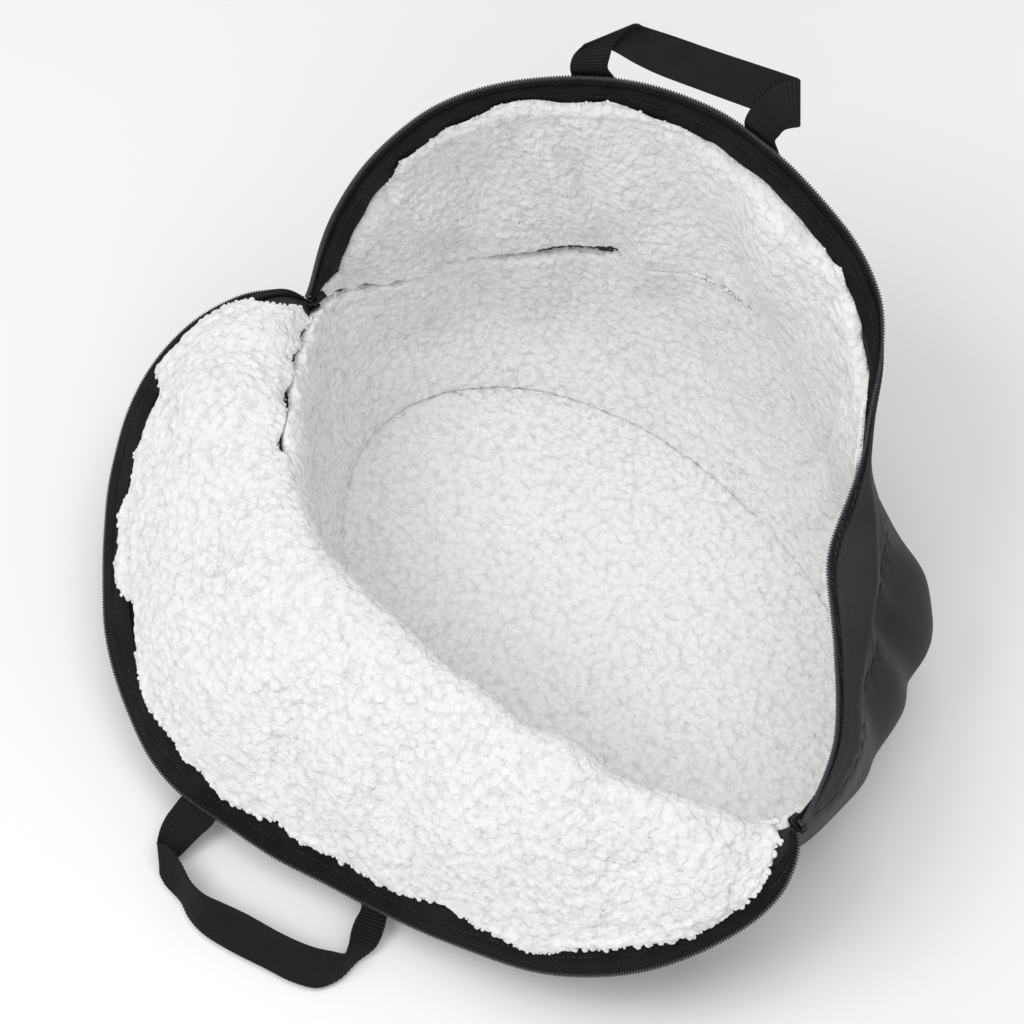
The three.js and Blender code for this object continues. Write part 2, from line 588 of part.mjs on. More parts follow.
// Each slider sits on the tub's edge at its zip end, narrow end outwards and down.
for (const [name, side, turn] of [
  ["left_slider", -1, leftEnd],
  ["right_slider", 1, rightEnd],
]) {
  const seat = surfaceAt(frontHalf, turn, (section) => section.seamLength).point;
  const tilt = sliderTilt * degree;
  const lift = sliderThickness / 2 / Math.cos(tilt) + clearance;
  const slider = addPiece(name, sliderGeometry(), darkMetal);
  slider.rotation.set(0, tilt, 0);
  const holder = new THREE.Group();
  holder.add(slider);
  if (side < 0) holder.rotation.z = Math.PI;
  holder.position.set(seat.x, seat.y, seat.z + lift);
  group.add(holder);
}

export default group;
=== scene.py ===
import math
import bpy
import numpy as np
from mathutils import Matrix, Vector


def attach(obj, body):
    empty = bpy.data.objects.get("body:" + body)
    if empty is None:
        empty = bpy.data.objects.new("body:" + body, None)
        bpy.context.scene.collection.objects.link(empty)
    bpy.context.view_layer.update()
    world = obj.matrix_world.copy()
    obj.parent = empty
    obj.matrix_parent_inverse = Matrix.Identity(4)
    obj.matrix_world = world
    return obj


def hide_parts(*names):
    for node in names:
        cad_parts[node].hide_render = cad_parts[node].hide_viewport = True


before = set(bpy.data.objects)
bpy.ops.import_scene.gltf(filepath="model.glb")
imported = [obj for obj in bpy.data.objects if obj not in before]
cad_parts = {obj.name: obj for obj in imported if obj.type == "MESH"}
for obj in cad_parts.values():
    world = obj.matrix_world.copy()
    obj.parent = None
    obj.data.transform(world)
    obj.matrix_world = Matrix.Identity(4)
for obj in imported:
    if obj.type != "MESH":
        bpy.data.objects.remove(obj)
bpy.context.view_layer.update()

# The view, the floor and the lights
# A pale studio floor under a soft bag, seen from high up over its right end. Three large soft lamps
# stand in front, above and at the right, so the folded-out front is brightest and the back is shaded.
view_turn = math.radians(51.57)
view_height = math.radians(58.0)
view_distance = 1.5
view_lens = 87.89
view_target = Vector((-0.04188, -0.02142, 0.1))


def linear(hex_colour):
    """A colour as the renderer counts it, from the way it is written for a screen."""
    parts = [int(hex_colour[i : i + 2], 16) / 255 for i in (1, 3, 5)]
    return [p / 12.92 if p <= 0.04045 else ((p + 0.055) / 1.055) ** 2.4 for p in parts] + [1.0]


def node(tree, kind, inputs=None, links=None, **settings):
    """A shader node with its settings, input values and links."""
    made = tree.nodes.new(kind)
    for key, value in settings.items():
        setattr(made, key, value)
    for key, value in (inputs or {}).items():
        made.inputs[key].default_value = value
    for key, source in (links or {}).items():
        tree.links.new(source, made.inputs[key])
    return made


def new_material(name, colour, roughness):
    """A plain material, its node tree and its shader."""
    material = bpy.data.materials.new(name)
    material.use_nodes = True
    shader = material.node_tree.nodes["Principled BSDF"]
    shader.inputs["Base Color"].default_value = linear(colour)
    shader.inputs["Roughness"].default_value = roughness
    return material, material.node_tree, shader


back = Vector(
    (
        math.sin(view_turn) * math.cos(view_height),
        -math.cos(view_turn) * math.cos(view_height),
        math.sin(view_height),
    )
)
camera = bpy.data.objects.new("camera", bpy.data.cameras.new("camera"))
camera.data.lens = view_lens
camera.data.sensor_width = 36.0
camera.location = view_target + back * view_distance
camera.rotation_euler = back.to_track_quat("Z", "Y").to_euler()
bpy.context.collection.objects.link(camera)
bpy.context.scene.camera = camera

floor_size = 8.0
floor_drop = 0.0006
floor_mesh = bpy.data.meshes.new("floor")
floor_mesh.from_pydata(
    [(x * floor_size, y * floor_size, -floor_drop) for x, y in ((-1, -1), (1, -1), (1, 1), (-1, 1))],
    [],
    [(0, 1, 2, 3)],
)
floor = bpy.data.objects.new("floor", floor_mesh)
bpy.context.collection.objects.link(floor)
# a dull white that only takes the bag's soft shadow
floor_finish, tree, shader = new_material("matt paper floor", "#fbfbfb", 1.0)
floor_mesh.materials.append(floor_finish)

scene = bpy.context.scene
scene.view_settings.view_transform = "Standard"
scene.world = bpy.data.worlds.new("studio")
scene.world.use_nodes = True
scene.world.node_tree.nodes["Background"].inputs["Color"].default_value = linear("#ffffff")
scene.world.node_tree.nodes["Background"].inputs["Strength"].default_value = 0.46


def soft_lamp(name, place, aim, size, watts):
    """A round lamp at a place, turned to what it lights."""
    lamp = bpy.data.lights.new(name, "AREA")
    lamp.shape = "DISK"
    lamp.size = size
    lamp.energy = watts
    holder = bpy.data.objects.new(name, lamp)
    holder.location = place
    holder.rotation_euler = (Vector(place) - Vector(aim)).to_track_quat("Z", "Y").to_euler()
    bpy.context.collection.objects.link(holder)


soft_lamp("key lamp", (-0.5, -1.5, 2.3), (0, 0, 0.1), 1.6, 23.5)
soft_lamp("top lamp", (0.1, 0.4, 2.6), (0, 0, 0.1), 1.8, 18)
soft_lamp("right lamp", (1.5, -1.3, 1.6), (0, 0.1, 0.2), 1.6, 9)

# The bag's outer shape
# The bag is sewn from a tub and two halves that meet its edge in one seam all round. The tables
# give the sewn shape section by section about the upright axis, and a few rows give its folds.
half_length = 0.200
half_depth = 0.155
back_height = 0.300

tub_columns = "turn foot belly belly_up seam seam_up".split()
tub_rows = [
    (-11, 0.98, 1.08, 0.2, 1.15, 0.405),
    (8, 0.97, 1.08, 0.2, 1.08, 0.4),
    (28, 0.97, 1.11, 0.22, 0.99, 0.43),
    (46, 0.98, 1.185, 0.27, 0.98, 0.46),
    (64, 0.95, 1.12, 0.27, 1.03, 0.48),
    (90, 0.9, 1.06, 0.25, 1.09, 0.5),
    (120, 0.92, 1.07, 0.24, 1.09, 0.53),
    (150, 0.97, 1.1, 0.22, 1.08, 0.46),
    (173, 0.99, 1.1, 0.2, 1.1, 0.41),
    (191, 0.98, 1.08, 0.2, 1.15, 0.405),
    (208, 0.94, 1.02, 0.22, 1.07, 0.43),
    (229, 0.88, 0.97, 0.22, 1.04, 0.445),
    (248, 0.84, 0.95, 0.22, 1.0, 0.445),
    (270, 0.82, 0.9, 0.22, 0.9, 0.445),
    (294, 0.83, 0.9, 0.22, 0.9, 0.445),
    (316, 0.88, 0.96, 0.22, 0.97, 0.435),
    (334, 0.94, 1.03, 0.2, 1.07, 0.415),
]
half_columns = "turn swing mid mid_up rim rim_up".split()
front_rows = [
    (191, 0, 1.167, 0.418, 1.177, 0.433),
    (199, -0.5, 1.22, 0.445, 1.371, 0.407),
    (211, 0.5, 1.29, 0.435, 1.555, 0.333),
    (223, 1.5, 1.35, 0.41, 1.655, 0.25),
    (235, 1.5, 1.38, 0.38, 1.718, 0.183),
    (247, 1, 1.38, 0.355, 1.776, 0.12),
    (259, 0, 1.35, 0.34, 1.765, 0.07),
    (272, -3.5, 1.27, 0.33, 1.645, 0.055),
    (286, -5, 1.2, 0.33, 1.51, 0.053),
    (300, -5, 1.18, 0.335, 1.435, 0.07),
    (312, -4, 1.18, 0.345, 1.42, 0.107),
    (322, -3, 1.19, 0.35, 1.395, 0.165),
    (333, -1, 1.2, 0.38, 1.342, 0.26),
    (342, 0, 1.19, 0.4, 1.28, 0.34),
    (349, 0, 1.167, 0.418, 1.177, 0.433),
]
back_rows = [
    (-11, 0, 1.167, 0.418, 1.177, 0.433),
    (3, 1, 1.07, 0.44, 1.025, 0.467),
    (19, 3, 0.97, 0.47, 0.86, 0.487),
    (33, 9, 0.93, 0.5, 0.788, 0.527),
    (51, 12, 0.97, 0.58, 0.975, 0.66),
    (69, 10, 1.06, 0.67, 1.157, 0.82),
    (89.5, 8, 1.1, 0.75, 1.13, 0.95),
    (107, 8, 1.11, 0.79, 1.105, 1.0),
    (127, 12, 1.08, 0.79, 1.038, 1.0),
    (151, 16, 1.08, 0.71, 1.055, 0.9),
    (173, 12, 1.11, 0.56, 1.11, 0.7),
    (191, 0, 1.167, 0.418, 1.177, 0.433),
]
# turn and spread in degrees, depth in metres and inwards, low and high from 0 at the foot over 1 at
# the seam to 2 at the rim, and lean in degrees from low to high
fold_columns = "turn spread depth low high lean".split()
fold_rows = [
    (20, 5, 0.006, 0.1, 1.5, 0),
    (36, 4, 0.0066, 0.1, 1.4, 0),
    (52, 5, -0.0042, 0.3, 1.6, 0),
    (66, 5, 0.0054, 0.2, 1.7, 0),
    (82, 6, 0.0042, 0.3, 1.8, 0),
    (109, 6, -0.003, 0.3, 1.8, 0),
    (143, 6, 0.0048, 0.2, 1.7, 0),
    (168, 5, 0.0036, 0.1, 1.5, 0),
    (218, 6, 0.0036, 0.2, 1.7, 0),
    (240, 7, -0.0036, 0.9, 1.9, 0),
    (262, 7, 0.0042, 0.9, 1.9, 0),
    (288, 8, -0.0036, 0.9, 1.9, 0),
    (310, 6, 0.0036, 0.2, 1.8, 0),
    (12, 3.2, 0.0012, 0.2, 1.6, 5),
    (29, 3.0, -0.0014, 0.15, 1.5, -4),
    (44, 3.2, 0.0013, 0.2, 1.7, 6),
    (59, 3.0, -0.0012, 0.4, 1.8, 4),
    (75, 2.6, 0.0014, 0.7, 1.7, -3),
    (97, 2.8, 0.0014, 0.2, 1.5, 4),
    (128, 2.8, 0.0014, 0.2, 1.6, -4),
    (155, 3.0, -0.0013, 0.3, 1.7, 3),
    (205, 3.0, 0.0015, 0.8, 1.9, 4),
    (226, 3.0, -0.0014, 0.9, 1.95, -4),
    (252, 3.2, -0.0014, 0.9, 1.95, 3),
    (276, 3.0, 0.0015, 0.9, 1.95, -5),
    (299, 3.0, 0.0015, 0.9, 1.9, 4),
    (326, 3.0, -0.0015, 0.9, 1.9, 3),
]
# long shallow waves of the whole cloth: wavelength along x, y and z, phase and height, in metres
wave_rows = [
    (0.083, 0.12, 0.21, 0.4, 0.0009),
    (0.16, 0.071, 0.13, 1.9, 0.0008),
    (0.11, -0.15, 0.09, 3.1, 0.0007),
    (0.061, 0.093, -0.12, 4.4, 0.0005),
    (-0.052, 0.11, 0.075, 5.2, 0.0004),
]


def column_at(columns, rows, name, turns):
    """One column of a table read at any turn, as a smooth curve through its rows."""
    table = np.array(rows, float)
    at = table[:, 0]
    values = table[:, columns.index(name)]
    count = len(rows)
    below = np.maximum(np.arange(count) - 1, 0)
    above = np.minimum(np.arange(count) + 1, count - 1)
    slopes = (values[above] - values[below]) / (at[above] - at[below])
    i = np.clip(np.searchsorted(at, turns, side="right") - 1, 0, count - 2)
    width = at[i + 1] - at[i]
    t = (turns - at[i]) / width
    level = values[i] * (2 * t**3 - 3 * t**2 + 1) + values[i + 1] * (3 * t**2 - 2 * t**3)
    lean = slopes[i] * (t**3 - 2 * t**2 + t) + slopes[i + 1] * (t**3 - t**2)
    return level + width * lean


tub_closed = (
    [(row[0] - 360, *row[1:]) for row in tub_rows[-3:]]
    + tub_rows
    + [(row[0] + 360, *row[1:]) for row in tub_rows[:3]]
)


def place_at(turns, share, up):
    """A point at a turn, a share of the foot's oval out and a share of the height up."""
    angle = np.radians(turns)
    x = half_length * share * np.cos(angle)
    y = half_depth * share * np.sin(angle)
    return np.stack([x, y, back_height * up], -1)


def section_points(rows, turns, fineness):
    """Smooth sections from the floor over the seam to the rim, one at each turn."""
    ring_turns = np.where(turns > 349, turns - 360, turns)
    ring = {name: column_at(tub_columns, tub_closed, name, ring_turns) for name in tub_columns[1:]}
    upper = {name: column_at(half_columns, rows, name, turns) for name in half_columns[1:]}
    knots = [
        place_at(turns, ring["foot"], 0 * turns),
        place_at(turns, ring["belly"], ring["belly_up"]),
        place_at(turns, ring["seam"], ring["seam_up"]),
        place_at(turns + upper["swing"] / 2, upper["mid"], upper["mid_up"]),
        place_at(turns + upper["swing"], upper["rim"], upper["rim_up"]),
    ]
    knots = [2 * knots[0] - knots[1]] + knots + [2 * knots[-1] - knots[-2]]
    pieces = []
    for k in range(1, 5):
        p0, p1, p2, p3 = knots[k - 1 : k + 3]
        d0 = np.linalg.norm(p1 - p0, axis=-1, keepdims=True) ** 0.5
        d1 = np.linalg.norm(p2 - p1, axis=-1, keepdims=True) ** 0.5
        d2 = np.linalg.norm(p3 - p2, axis=-1, keepdims=True) ** 0.5
        start = ((p1 - p0) / d0 - (p2 - p0) / (d0 + d1) + (p2 - p1) / d1) * d1
        stop = ((p2 - p1) / d1 - (p3 - p1) / (d1 + d2) + (p3 - p2) / d2) * d1
        t = (np.arange(fineness + (k == 4)) / fineness)[None, :, None]
        a, b, c, d = (v[:, None, :] for v in (p1, start, stop, p2))
        bend = (-3 * a + 3 * d - 2 * b - c) * t**2 + (2 * a - 2 * d + b + c) * t**3
        pieces.append(a + b * t + bend)
    return np.concatenate(pieces, 1)


def unit(v):
    """The same directions with length one."""
    return v / np.maximum(np.linalg.norm(v, axis=-1, keepdims=True), 1e-12)


def inward_of(points):
    """The direction into the bag at each point of a grid."""
    around = np.gradient(points, axis=0)
    upwards = np.gradient(points, axis=1)
    return unit(np.cross(upwards, around))


def relief(turns, heights, points):
    """How far the soft folds and waves set the cloth in or out."""
    depth = np.zeros(points.shape[:2])
    for row in fold_rows:
        fold = dict(zip(fold_columns, row))
        along = np.clip((heights - fold["low"]) / (fold["high"] - fold["low"]), 0, 1)
        centre = fold["turn"] + fold["lean"] * (along - 0.5)
        away = (((turns[:, None] - centre + 540) % 360) - 180) / fold["spread"]
        depth += fold["depth"] * np.exp(-(away**2)) * np.sin(np.pi * along) ** 2
    calm = np.clip(heights / 0.5, 0, 1) * np.clip((2.15 - heights) / 0.6, 0, 1)
    for x, y, z, phase, height in wave_rows:
        angle = 2 * np.pi * (points[..., 0] / x + points[..., 1] / y + points[..., 2] / z) + phase
        depth += height * np.sin(angle) * calm
    return depth


def shell_table(rows, fineness=60, step=0.25):
    """The outer face of one half and the tub under it, as a fine table of points."""
    turns = np.arange(rows[0][0], rows[-1][0] + step / 2, step)
    points = section_points(rows, turns, fineness)
    ends = np.linalg.norm(np.diff(points, axis=1), axis=-1).cumsum(1)
    lengths = np.concatenate([np.zeros((len(turns), 1)), ends], 1)
    seam = lengths[:, 2 * fineness]
    total = lengths[:, -1]
    lower = lengths / seam[:, None]
    upper = 1 + (lengths - seam[:, None]) / (total - seam)[:, None]
    heights = np.where(lengths < seam[:, None], lower, upper)
    depth = relief(turns, heights, points)
    points = points + inward_of(points) * depth[..., None]
    return {
        "turns": turns,
        "lengths": lengths,
        "seam": seam,
        "total": total,
        "points": points,
        "inward": inward_of(points),
    }


front = shell_table(front_rows)
rear = shell_table(back_rows)


def value_at(table, name, turns):
    """A value of a shell table, such as the length to its seam, at any turn."""
    return np.interp(turns, table["turns"], table[name])


def on_shell(table, turns, lengths, depth=0.0):
    """Points at turns and lengths from the foot, set in from the outer face by depth."""
    step = table["turns"][1] - table["turns"][0]
    place = np.clip((turns - table["turns"][0]) / step, 0, len(table["turns"]) - 1.0001)
    i = place.astype(int)
    f = (place - i)[:, None, None]
    results = []
    for name in ("points", "inward"):
        both = []
        for k in (i, i + 1):
            rows = table["lengths"][k]
            along = np.empty(lengths.shape)
            for c in range(len(k)):
                along[c] = np.interp(lengths[c], rows[c], np.arange(rows.shape[1]))
            j = np.clip(along.astype(int), 0, rows.shape[1] - 2)
            g = (along - j)[..., None]
            source = table[name]
            columns = k[:, None]
            both.append(source[columns, j] * (1 - g) + source[columns, j + 1] * g)
        results.append(both[0] * (1 - f) + both[1] * f)
    points, inward = results
    inward = unit(inward)
    depth = np.broadcast_to(depth, lengths.shape)[..., None]
    points = points + inward * depth
    points[..., 2] = np.maximum(points[..., 2], 0.0)
    return points, inward


def even_turns(table, share, spacing, margin):
    """Turns that lie evenly along a half, measured part of the way from its seam to its rim."""
    turns = np.arange(table["turns"][0] + margin, table["turns"][-1] - margin + 0.1, 0.5)
    seam = value_at(table, "seam", turns)
    reach = seam + share * (value_at(table, "total", turns) - seam)
    line = on_shell(table, turns, reach[:, None])[0][:, 0]
    run = np.concatenate([[0], np.linalg.norm(np.diff(line, axis=0), axis=1).cumsum()])
    count = max(int(run[-1] / spacing), 8)
    along = np.linspace(0, run[-1], count + 1)
    return np.interp(along, run, turns), along


def spread(start, stop, shares):
    """Lengths between two lines, one row for each share."""
    return start[:, None] + (stop - start)[:, None] * shares[None, :]


def sheet_object(name, face, under, run, rise, wraps=False):
    """A closed thin solid between a fine face and a coarser underside with the same columns."""
    columns, rows = face.shape[:2]
    low = under.shape[1]
    points = np.concatenate([face.reshape(-1, 3), under.reshape(-1, 3)])
    spans = columns if wraps else columns - 1
    i = np.arange(spans)
    n = (i + 1) % columns
    run = np.append(run, run[-1] + (run[-1] - run[-2]))
    quads, coords = [], []

    def strip(a, b, c, d, ua, ub, va, vb):
        quads.append(np.stack([a, b, c, d], -1).reshape(-1, 4))
        corners = [(ua, va[0]), (ub, va[1]), (ub, vb[1]), (ua, vb[0])]
        pairs = [np.stack(np.broadcast_arrays(u, v), -1).reshape(-1, 2) for u, v in corners]
        coords.append(np.stack(pairs, 1))

    left, right = run[i][:, None], run[i + 1][:, None]
    j = np.arange(rows - 1)[None, :]
    at = lambda c, r: c[:, None] * rows + r
    below = lambda c, r: columns * rows + c[:, None] * low + r
    strip(
        at(i, j), at(n, j), at(n, j + 1), at(i, j + 1),
        left, right,
        (rise[i][:, :-1], rise[n][:, :-1]), (rise[i][:, 1:], rise[n][:, 1:]),
    )
    k = np.arange(low - 1)[None, :]
    share = np.linspace(0, 1, low)
    under_rise = rise[:, :1] + (rise[:, -1:] - rise[:, :1]) * share
    strip(
        below(i, k), below(i, k + 1), below(n, k + 1), below(n, k),
        left, right,
        (under_rise[i][:, :-1], under_rise[n][:, :-1]), (under_rise[i][:, :-1], under_rise[n][:, :-1]),
    )
    for top, bottom in ((0, 0), (rows - 1, low - 1)):
        a, b = at(i, top), at(n, top)
        c, d = below(n, bottom), below(i, bottom)
        if top == 0:
            a, b, c, d = d, c, b, a
        v = rise[i][:, top : top + 1]
        strip(a, b, c, d, left, right, (v, v), (v, v))
    faces = np.concatenate(quads)
    uv = np.concatenate(coords)
    polygons = faces.tolist()
    corners = uv.reshape(-1, 2).tolist()
    if not wraps:
        for c, turned in ((0, False), (columns - 1, True)):
            ring = [c * rows + r for r in range(rows)]
            ring += [columns * rows + c * low + r for r in range(low - 1, -1, -1)]
            if turned:
                ring.reverse()
            polygons.append(ring)
            corners += [(float(run[c]), 0.0)] * len(ring)
    tri = points[faces[:, [0, 1, 2, 0, 2, 3]]].reshape(-1, 3, 3)
    if np.einsum("ij,ij->i", tri[:, 0], np.cross(tri[:, 1], tri[:, 2])).sum() < 0:
        turned_corners = []
        place = 0
        for polygon in polygons:
            turned_corners += corners[place : place + len(polygon)][::-1]
            place += len(polygon)
            polygon.reverse()
        corners = turned_corners
    mesh = bpy.data.meshes.new(name)
    mesh.from_pydata(points.tolist(), [], polygons)
    layer = mesh.uv_layers.new(name="UVMap")
    layer.data.foreach_set("uv", np.array(corners, np.float32).ravel())
    mesh.shade_smooth()
    mesh.set_sharp_from_angle(angle=math.radians(55))
    made = bpy.data.objects.new(name, mesh)
    bpy.context.collection.objects.link(made)
    return made


# Nylon tub and panels
# Matt black nylon packcloth, cut in a tub and two curved panels. The panels are turned under at
# the zip, and the seam to the tub is pulled in and a little puckered by its thread.
nylon_thickness = 0.0015
coil_width = 0.003
tape_show = 0.005
tape_width = 0.014
facing_width = 0.025
taper_room = 0.070
seam_pull = 0.0006
seam_reach = 0.004
pucker_pitch = 0.011
pucker_depth = 0.0003
thread_pitch = 0.0011
thread_relief = 0.00012
cloth_spacing = 0.0019
# the wave texture draws one rib for each unit at this scale
one_rib = 1 / 3.1831

# dull black with faint lighter patches and a fine weave, as worn nylon looks in soft light
nylon, tree, shader = new_material("matt black nylon packcloth", "#2b2b2d", 0.75)
shader.inputs["Sheen Weight"].default_value = 0.08
shader.inputs["Sheen Roughness"].default_value = 0.45
shader.inputs["Specular IOR Level"].default_value = 0.18
place = node(tree, "ShaderNodeTexCoord")
mottle = node(
    tree, "ShaderNodeTexNoise", {"Scale": 26.0, "Detail": 4.0}, {"Vector": place.outputs["Object"]}
)
shade = node(tree, "ShaderNodeValToRGB", links={"Fac": mottle.outputs["Fac"]})
shade.color_ramp.elements[0].position = 0.3
shade.color_ramp.elements[0].color = linear("#29292a")
shade.color_ramp.elements[1].position = 0.75
shade.color_ramp.elements[1].color = linear("#343436")
tree.links.new(shade.outputs["Color"], shader.inputs["Base Color"])


def woven_bump(tree, shader, coordinate, pitch_u, pitch_v, height, strength, turn=0.0):
    """Crossing threads as two sets of sine ribs, pitch_u apart along U and pitch_v along V."""
    ways = []
    for pitch, angle in ((pitch_u, turn), (pitch_v, turn + 90)):
        turned = node(tree, "ShaderNodeMapping", links={"Vector": coordinate})
        turned.inputs["Rotation"].default_value = (0, 0, math.radians(angle))
        turned.inputs["Scale"].default_value = (1 / pitch, 1 / pitch, 1)
        ribs = node(
            tree,
            "ShaderNodeTexWave",
            {"Scale": one_rib, "Distortion": 0.0},
            {"Vector": turned.outputs[0]},
        )
        ribs.wave_type = "BANDS"
        ribs.bands_direction = "X"
        ways.append(ribs)
    both = node(
        tree,
        "ShaderNodeMath",
        links={0: ways[0].outputs["Fac"], 1: ways[1].outputs["Fac"]},
        operation="MULTIPLY",
    )
    bump = node(
        tree,
        "ShaderNodeBump",
        {"Strength": strength, "Distance": height},
        {"Height": both.outputs[0]},
    )
    tree.links.new(bump.outputs["Normal"], shader.inputs["Normal"])
    return bump


woven_bump(tree, shader, place.outputs["UV"], thread_pitch, thread_pitch, thread_relief, 0.55)


def taper(table, turns):
    """How much of its full width the trim has, which shrinks where the half is low."""
    room = value_at(table, "total", turns) - value_at(table, "seam", turns)
    return np.minimum(1, room / taper_room)


def from_coil(table, turns, width):
    """The length of a line that lies a width below the zip's coil."""
    return value_at(table, "total", turns) - coil_width - width * taper(table, turns)


def seam_groove(distance, run):
    """The dip and the fine puckers beside a sewn seam."""
    near = np.exp(-((distance / seam_reach) ** 2))
    pucker = pucker_depth * np.sin(2 * np.pi * run / pucker_pitch + 2.1 * np.sin(run * 61))
    wide = np.exp(-((distance / (3 * seam_reach)) ** 2))
    return seam_pull * near + pucker * wide


def ring_columns(spacing):
    """Columns all round the tub: the back half's table first, then the front half's."""
    columns = []
    run = []
    start = 0.0
    for table in (rear, front):
        turns, along = even_turns(table, 0.0, spacing, 0.0)
        columns.append((table, turns[:-1]))
        run.append(along[:-1] + start)
        start += along[-1]
    return columns, np.concatenate(run), start


def tub_grid(columns, lengths_of, depth_of):
    """Points of the tub for each column, with lengths and depths by function."""
    points = []
    for table, turns in columns:
        lengths = lengths_of(table, turns)
        points.append(on_shell(table, turns, lengths, depth_of(table, turns, lengths))[0])
    return np.concatenate(points)


seam_gap = 0.00002
tub_columns_at, tub_run, _ = ring_columns(cloth_spacing)
tub_shares = np.concatenate([np.linspace(0, 0.9, 34), np.linspace(0.915, 1, 10)])


def tub_lengths(shares):
    """Lengths up the tub wall, from the floor to just under the seam."""
    def made(table, turns):
        top = value_at(table, "seam", turns) - seam_gap
        return spread(0 * top, top, shares)

    return made


rear_columns = len(tub_columns_at[0][1])
run_by_table = {id(rear): tub_run[:rear_columns], id(front): tub_run[rear_columns:]}


def tub_face_depth(table, turns, lengths):
    """The outer face of the tub, with the groove of its seam."""
    distance = value_at(table, "seam", turns)[:, None] - lengths
    return seam_groove(distance, run_by_table[id(table)][:, None])


face = tub_grid(tub_columns_at, tub_lengths(tub_shares), tub_face_depth)
under = tub_grid(
    tub_columns_at, tub_lengths(np.linspace(0, 1, 7)), lambda t, a, l: nylon_thickness + 0 * l
)
wall_height = 0.14
rise = np.broadcast_to(tub_shares * wall_height, face.shape[:2])
tub_wall = sheet_object("tub_wall_cloth", face, under, tub_run, rise, wraps=True)
tub_wall.data.materials.append(nylon)
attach(tub_wall, "root")
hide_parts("tub_wall")


def half_sheet(name, table, spacing, margin, lines, shares, depths, under_depth, face_depth):
    """A strip of one half between two lines, each a function of the table and its turns."""
    turns, run = even_turns(table, 0.7, spacing, margin)
    start, stop = (line(table, turns) for line in lines)
    lengths = spread(start, stop, shares)
    depth = face_depth(table, turns, lengths, run) if callable(face_depth) else face_depth
    face = on_shell(table, turns, lengths, depth)[0]
    under = on_shell(table, turns, spread(start, stop, depths), under_depth)[0]
    return sheet_object(name, face, under, run, lengths - start[:, None])


end_margin = 0.9
hem_width = 0.007
hem_height = 0.0005
hem_slope = 0.0004
hem_roll = 0.0009
roll_reach = 0.0008
panel_set_in = 0.0004


def panel_depth(table, turns, lengths, run):
    """The face of a half's cloth, with its seam, its hem and its rolled edge."""
    seam = value_at(table, "seam", turns)[:, None]
    groove = seam_groove(lengths - seam, run[:, None])
    to_edge = from_coil(table, turns, tape_show)[:, None] - lengths
    hem = hem_height * (1 - 1 / (1 + np.exp(-(to_edge - hem_width) / hem_slope)))
    roll = hem_roll * np.exp(-((to_edge / roll_reach) ** 2))
    return groove + panel_set_in - hem + roll


panel_shares = np.concatenate(
    [np.linspace(0, 0.06, 8), np.linspace(0.08, 0.88, 40), np.linspace(0.895, 1, 18)]
)
for side, table, node_name, cut, held, area in (
    ("front", front, "front_panel", (0.84, 0.177), "folded", 0.077),
    ("back", rear, "back_panel", (0.81, 0.150), "hung", 0.058),
):
    panel = half_sheet(
        side + "_panel_cloth",
        table,
        cloth_spacing,
        end_margin,
        (
            lambda t, a: value_at(t, "seam", a) + seam_gap,
            lambda t, a: from_coil(t, a, tape_show),
        ),
        panel_shares,
        np.linspace(0, 1, 8),
        nylon_thickness,
        panel_depth,
    )
    panel.data.materials.append(nylon)
    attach(panel, "root")
    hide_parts(node_name)

# Base panel
# The same packcloth, cut as one oval and sewn inside the foot of the tub wall. It lies flat on the
# floor, and is the only cloth of the bag that its weight flattens.
clearance = 0.0003
base_thickness = 0.002


def disc_object(name, outline, low, high, cells, top_lift=None):
    """A flat plate with an even grid over its top, fitted to a closed outline."""
    side = np.linspace(-1, 1, cells + 1)
    gx, gy = np.meshgrid(side, side, indexing="ij")
    dx = gx * np.sqrt(1 - gy**2 / 2)
    dy = gy * np.sqrt(1 - gx**2 / 2)
    angles = np.degrees(np.arctan2(dy, dx))
    reach = np.hypot(dx, dy)
    turns = np.degrees(np.arctan2(outline[:, 1] / half_depth, outline[:, 0] / half_length))
    order = np.argsort(turns)
    ring = np.concatenate([outline[order], outline[order][:1]])
    ring_turns = np.concatenate([turns[order], [turns[order][0] + 360]])
    wrapped = np.where(angles < ring_turns[0], angles + 360, angles)
    x = reach * np.interp(wrapped, ring_turns, ring[:, 0])
    y = reach * np.interp(wrapped, ring_turns, ring[:, 1])
    top = high + (top_lift(x, y) if top_lift else 0 * x)
    face = np.stack([x, y, top], -1)
    count = cells + 1
    edge = [(i, 0) for i in range(cells)] + [(cells, j) for j in range(cells)]
    edge += [(i, cells) for i in range(cells, 0, -1)] + [(0, j) for j in range(cells, 0, -1)]
    points = face.reshape(-1, 3).tolist()
    start = len(points)
    for i, j in edge:
        points.append((float(x[i, j]), float(y[i, j]), low))
    faces = []
    for i in range(cells):
        for j in range(cells):
            faces.append((i * count + j, (i + 1) * count + j, (i + 1) * count + j + 1, i * count + j + 1))
    size = len(edge)
    for k in range(size):
        a, b = edge[k], edge[(k + 1) % size]
        faces.append((a[0] * count + a[1], start + k, start + (k + 1) % size, b[0] * count + b[1]))
    faces.append([start + k for k in range(size)][::-1])
    mesh = bpy.data.meshes.new(name)
    mesh.from_pydata(points, [], faces)
    layer = mesh.uv_layers.new(name="UVMap")
    corner = np.empty(len(mesh.loops), np.int32)
    mesh.loops.foreach_get("vertex_index", corner)
    flat = np.array(points)[corner][:, :2]
    layer.data.foreach_set("uv", flat.astype(np.float32).ravel())
    mesh.shade_smooth()
    mesh.set_sharp_from_angle(angle=math.radians(50))
    made = bpy.data.objects.new(name, mesh)
    bpy.context.collection.objects.link(made)
    return made


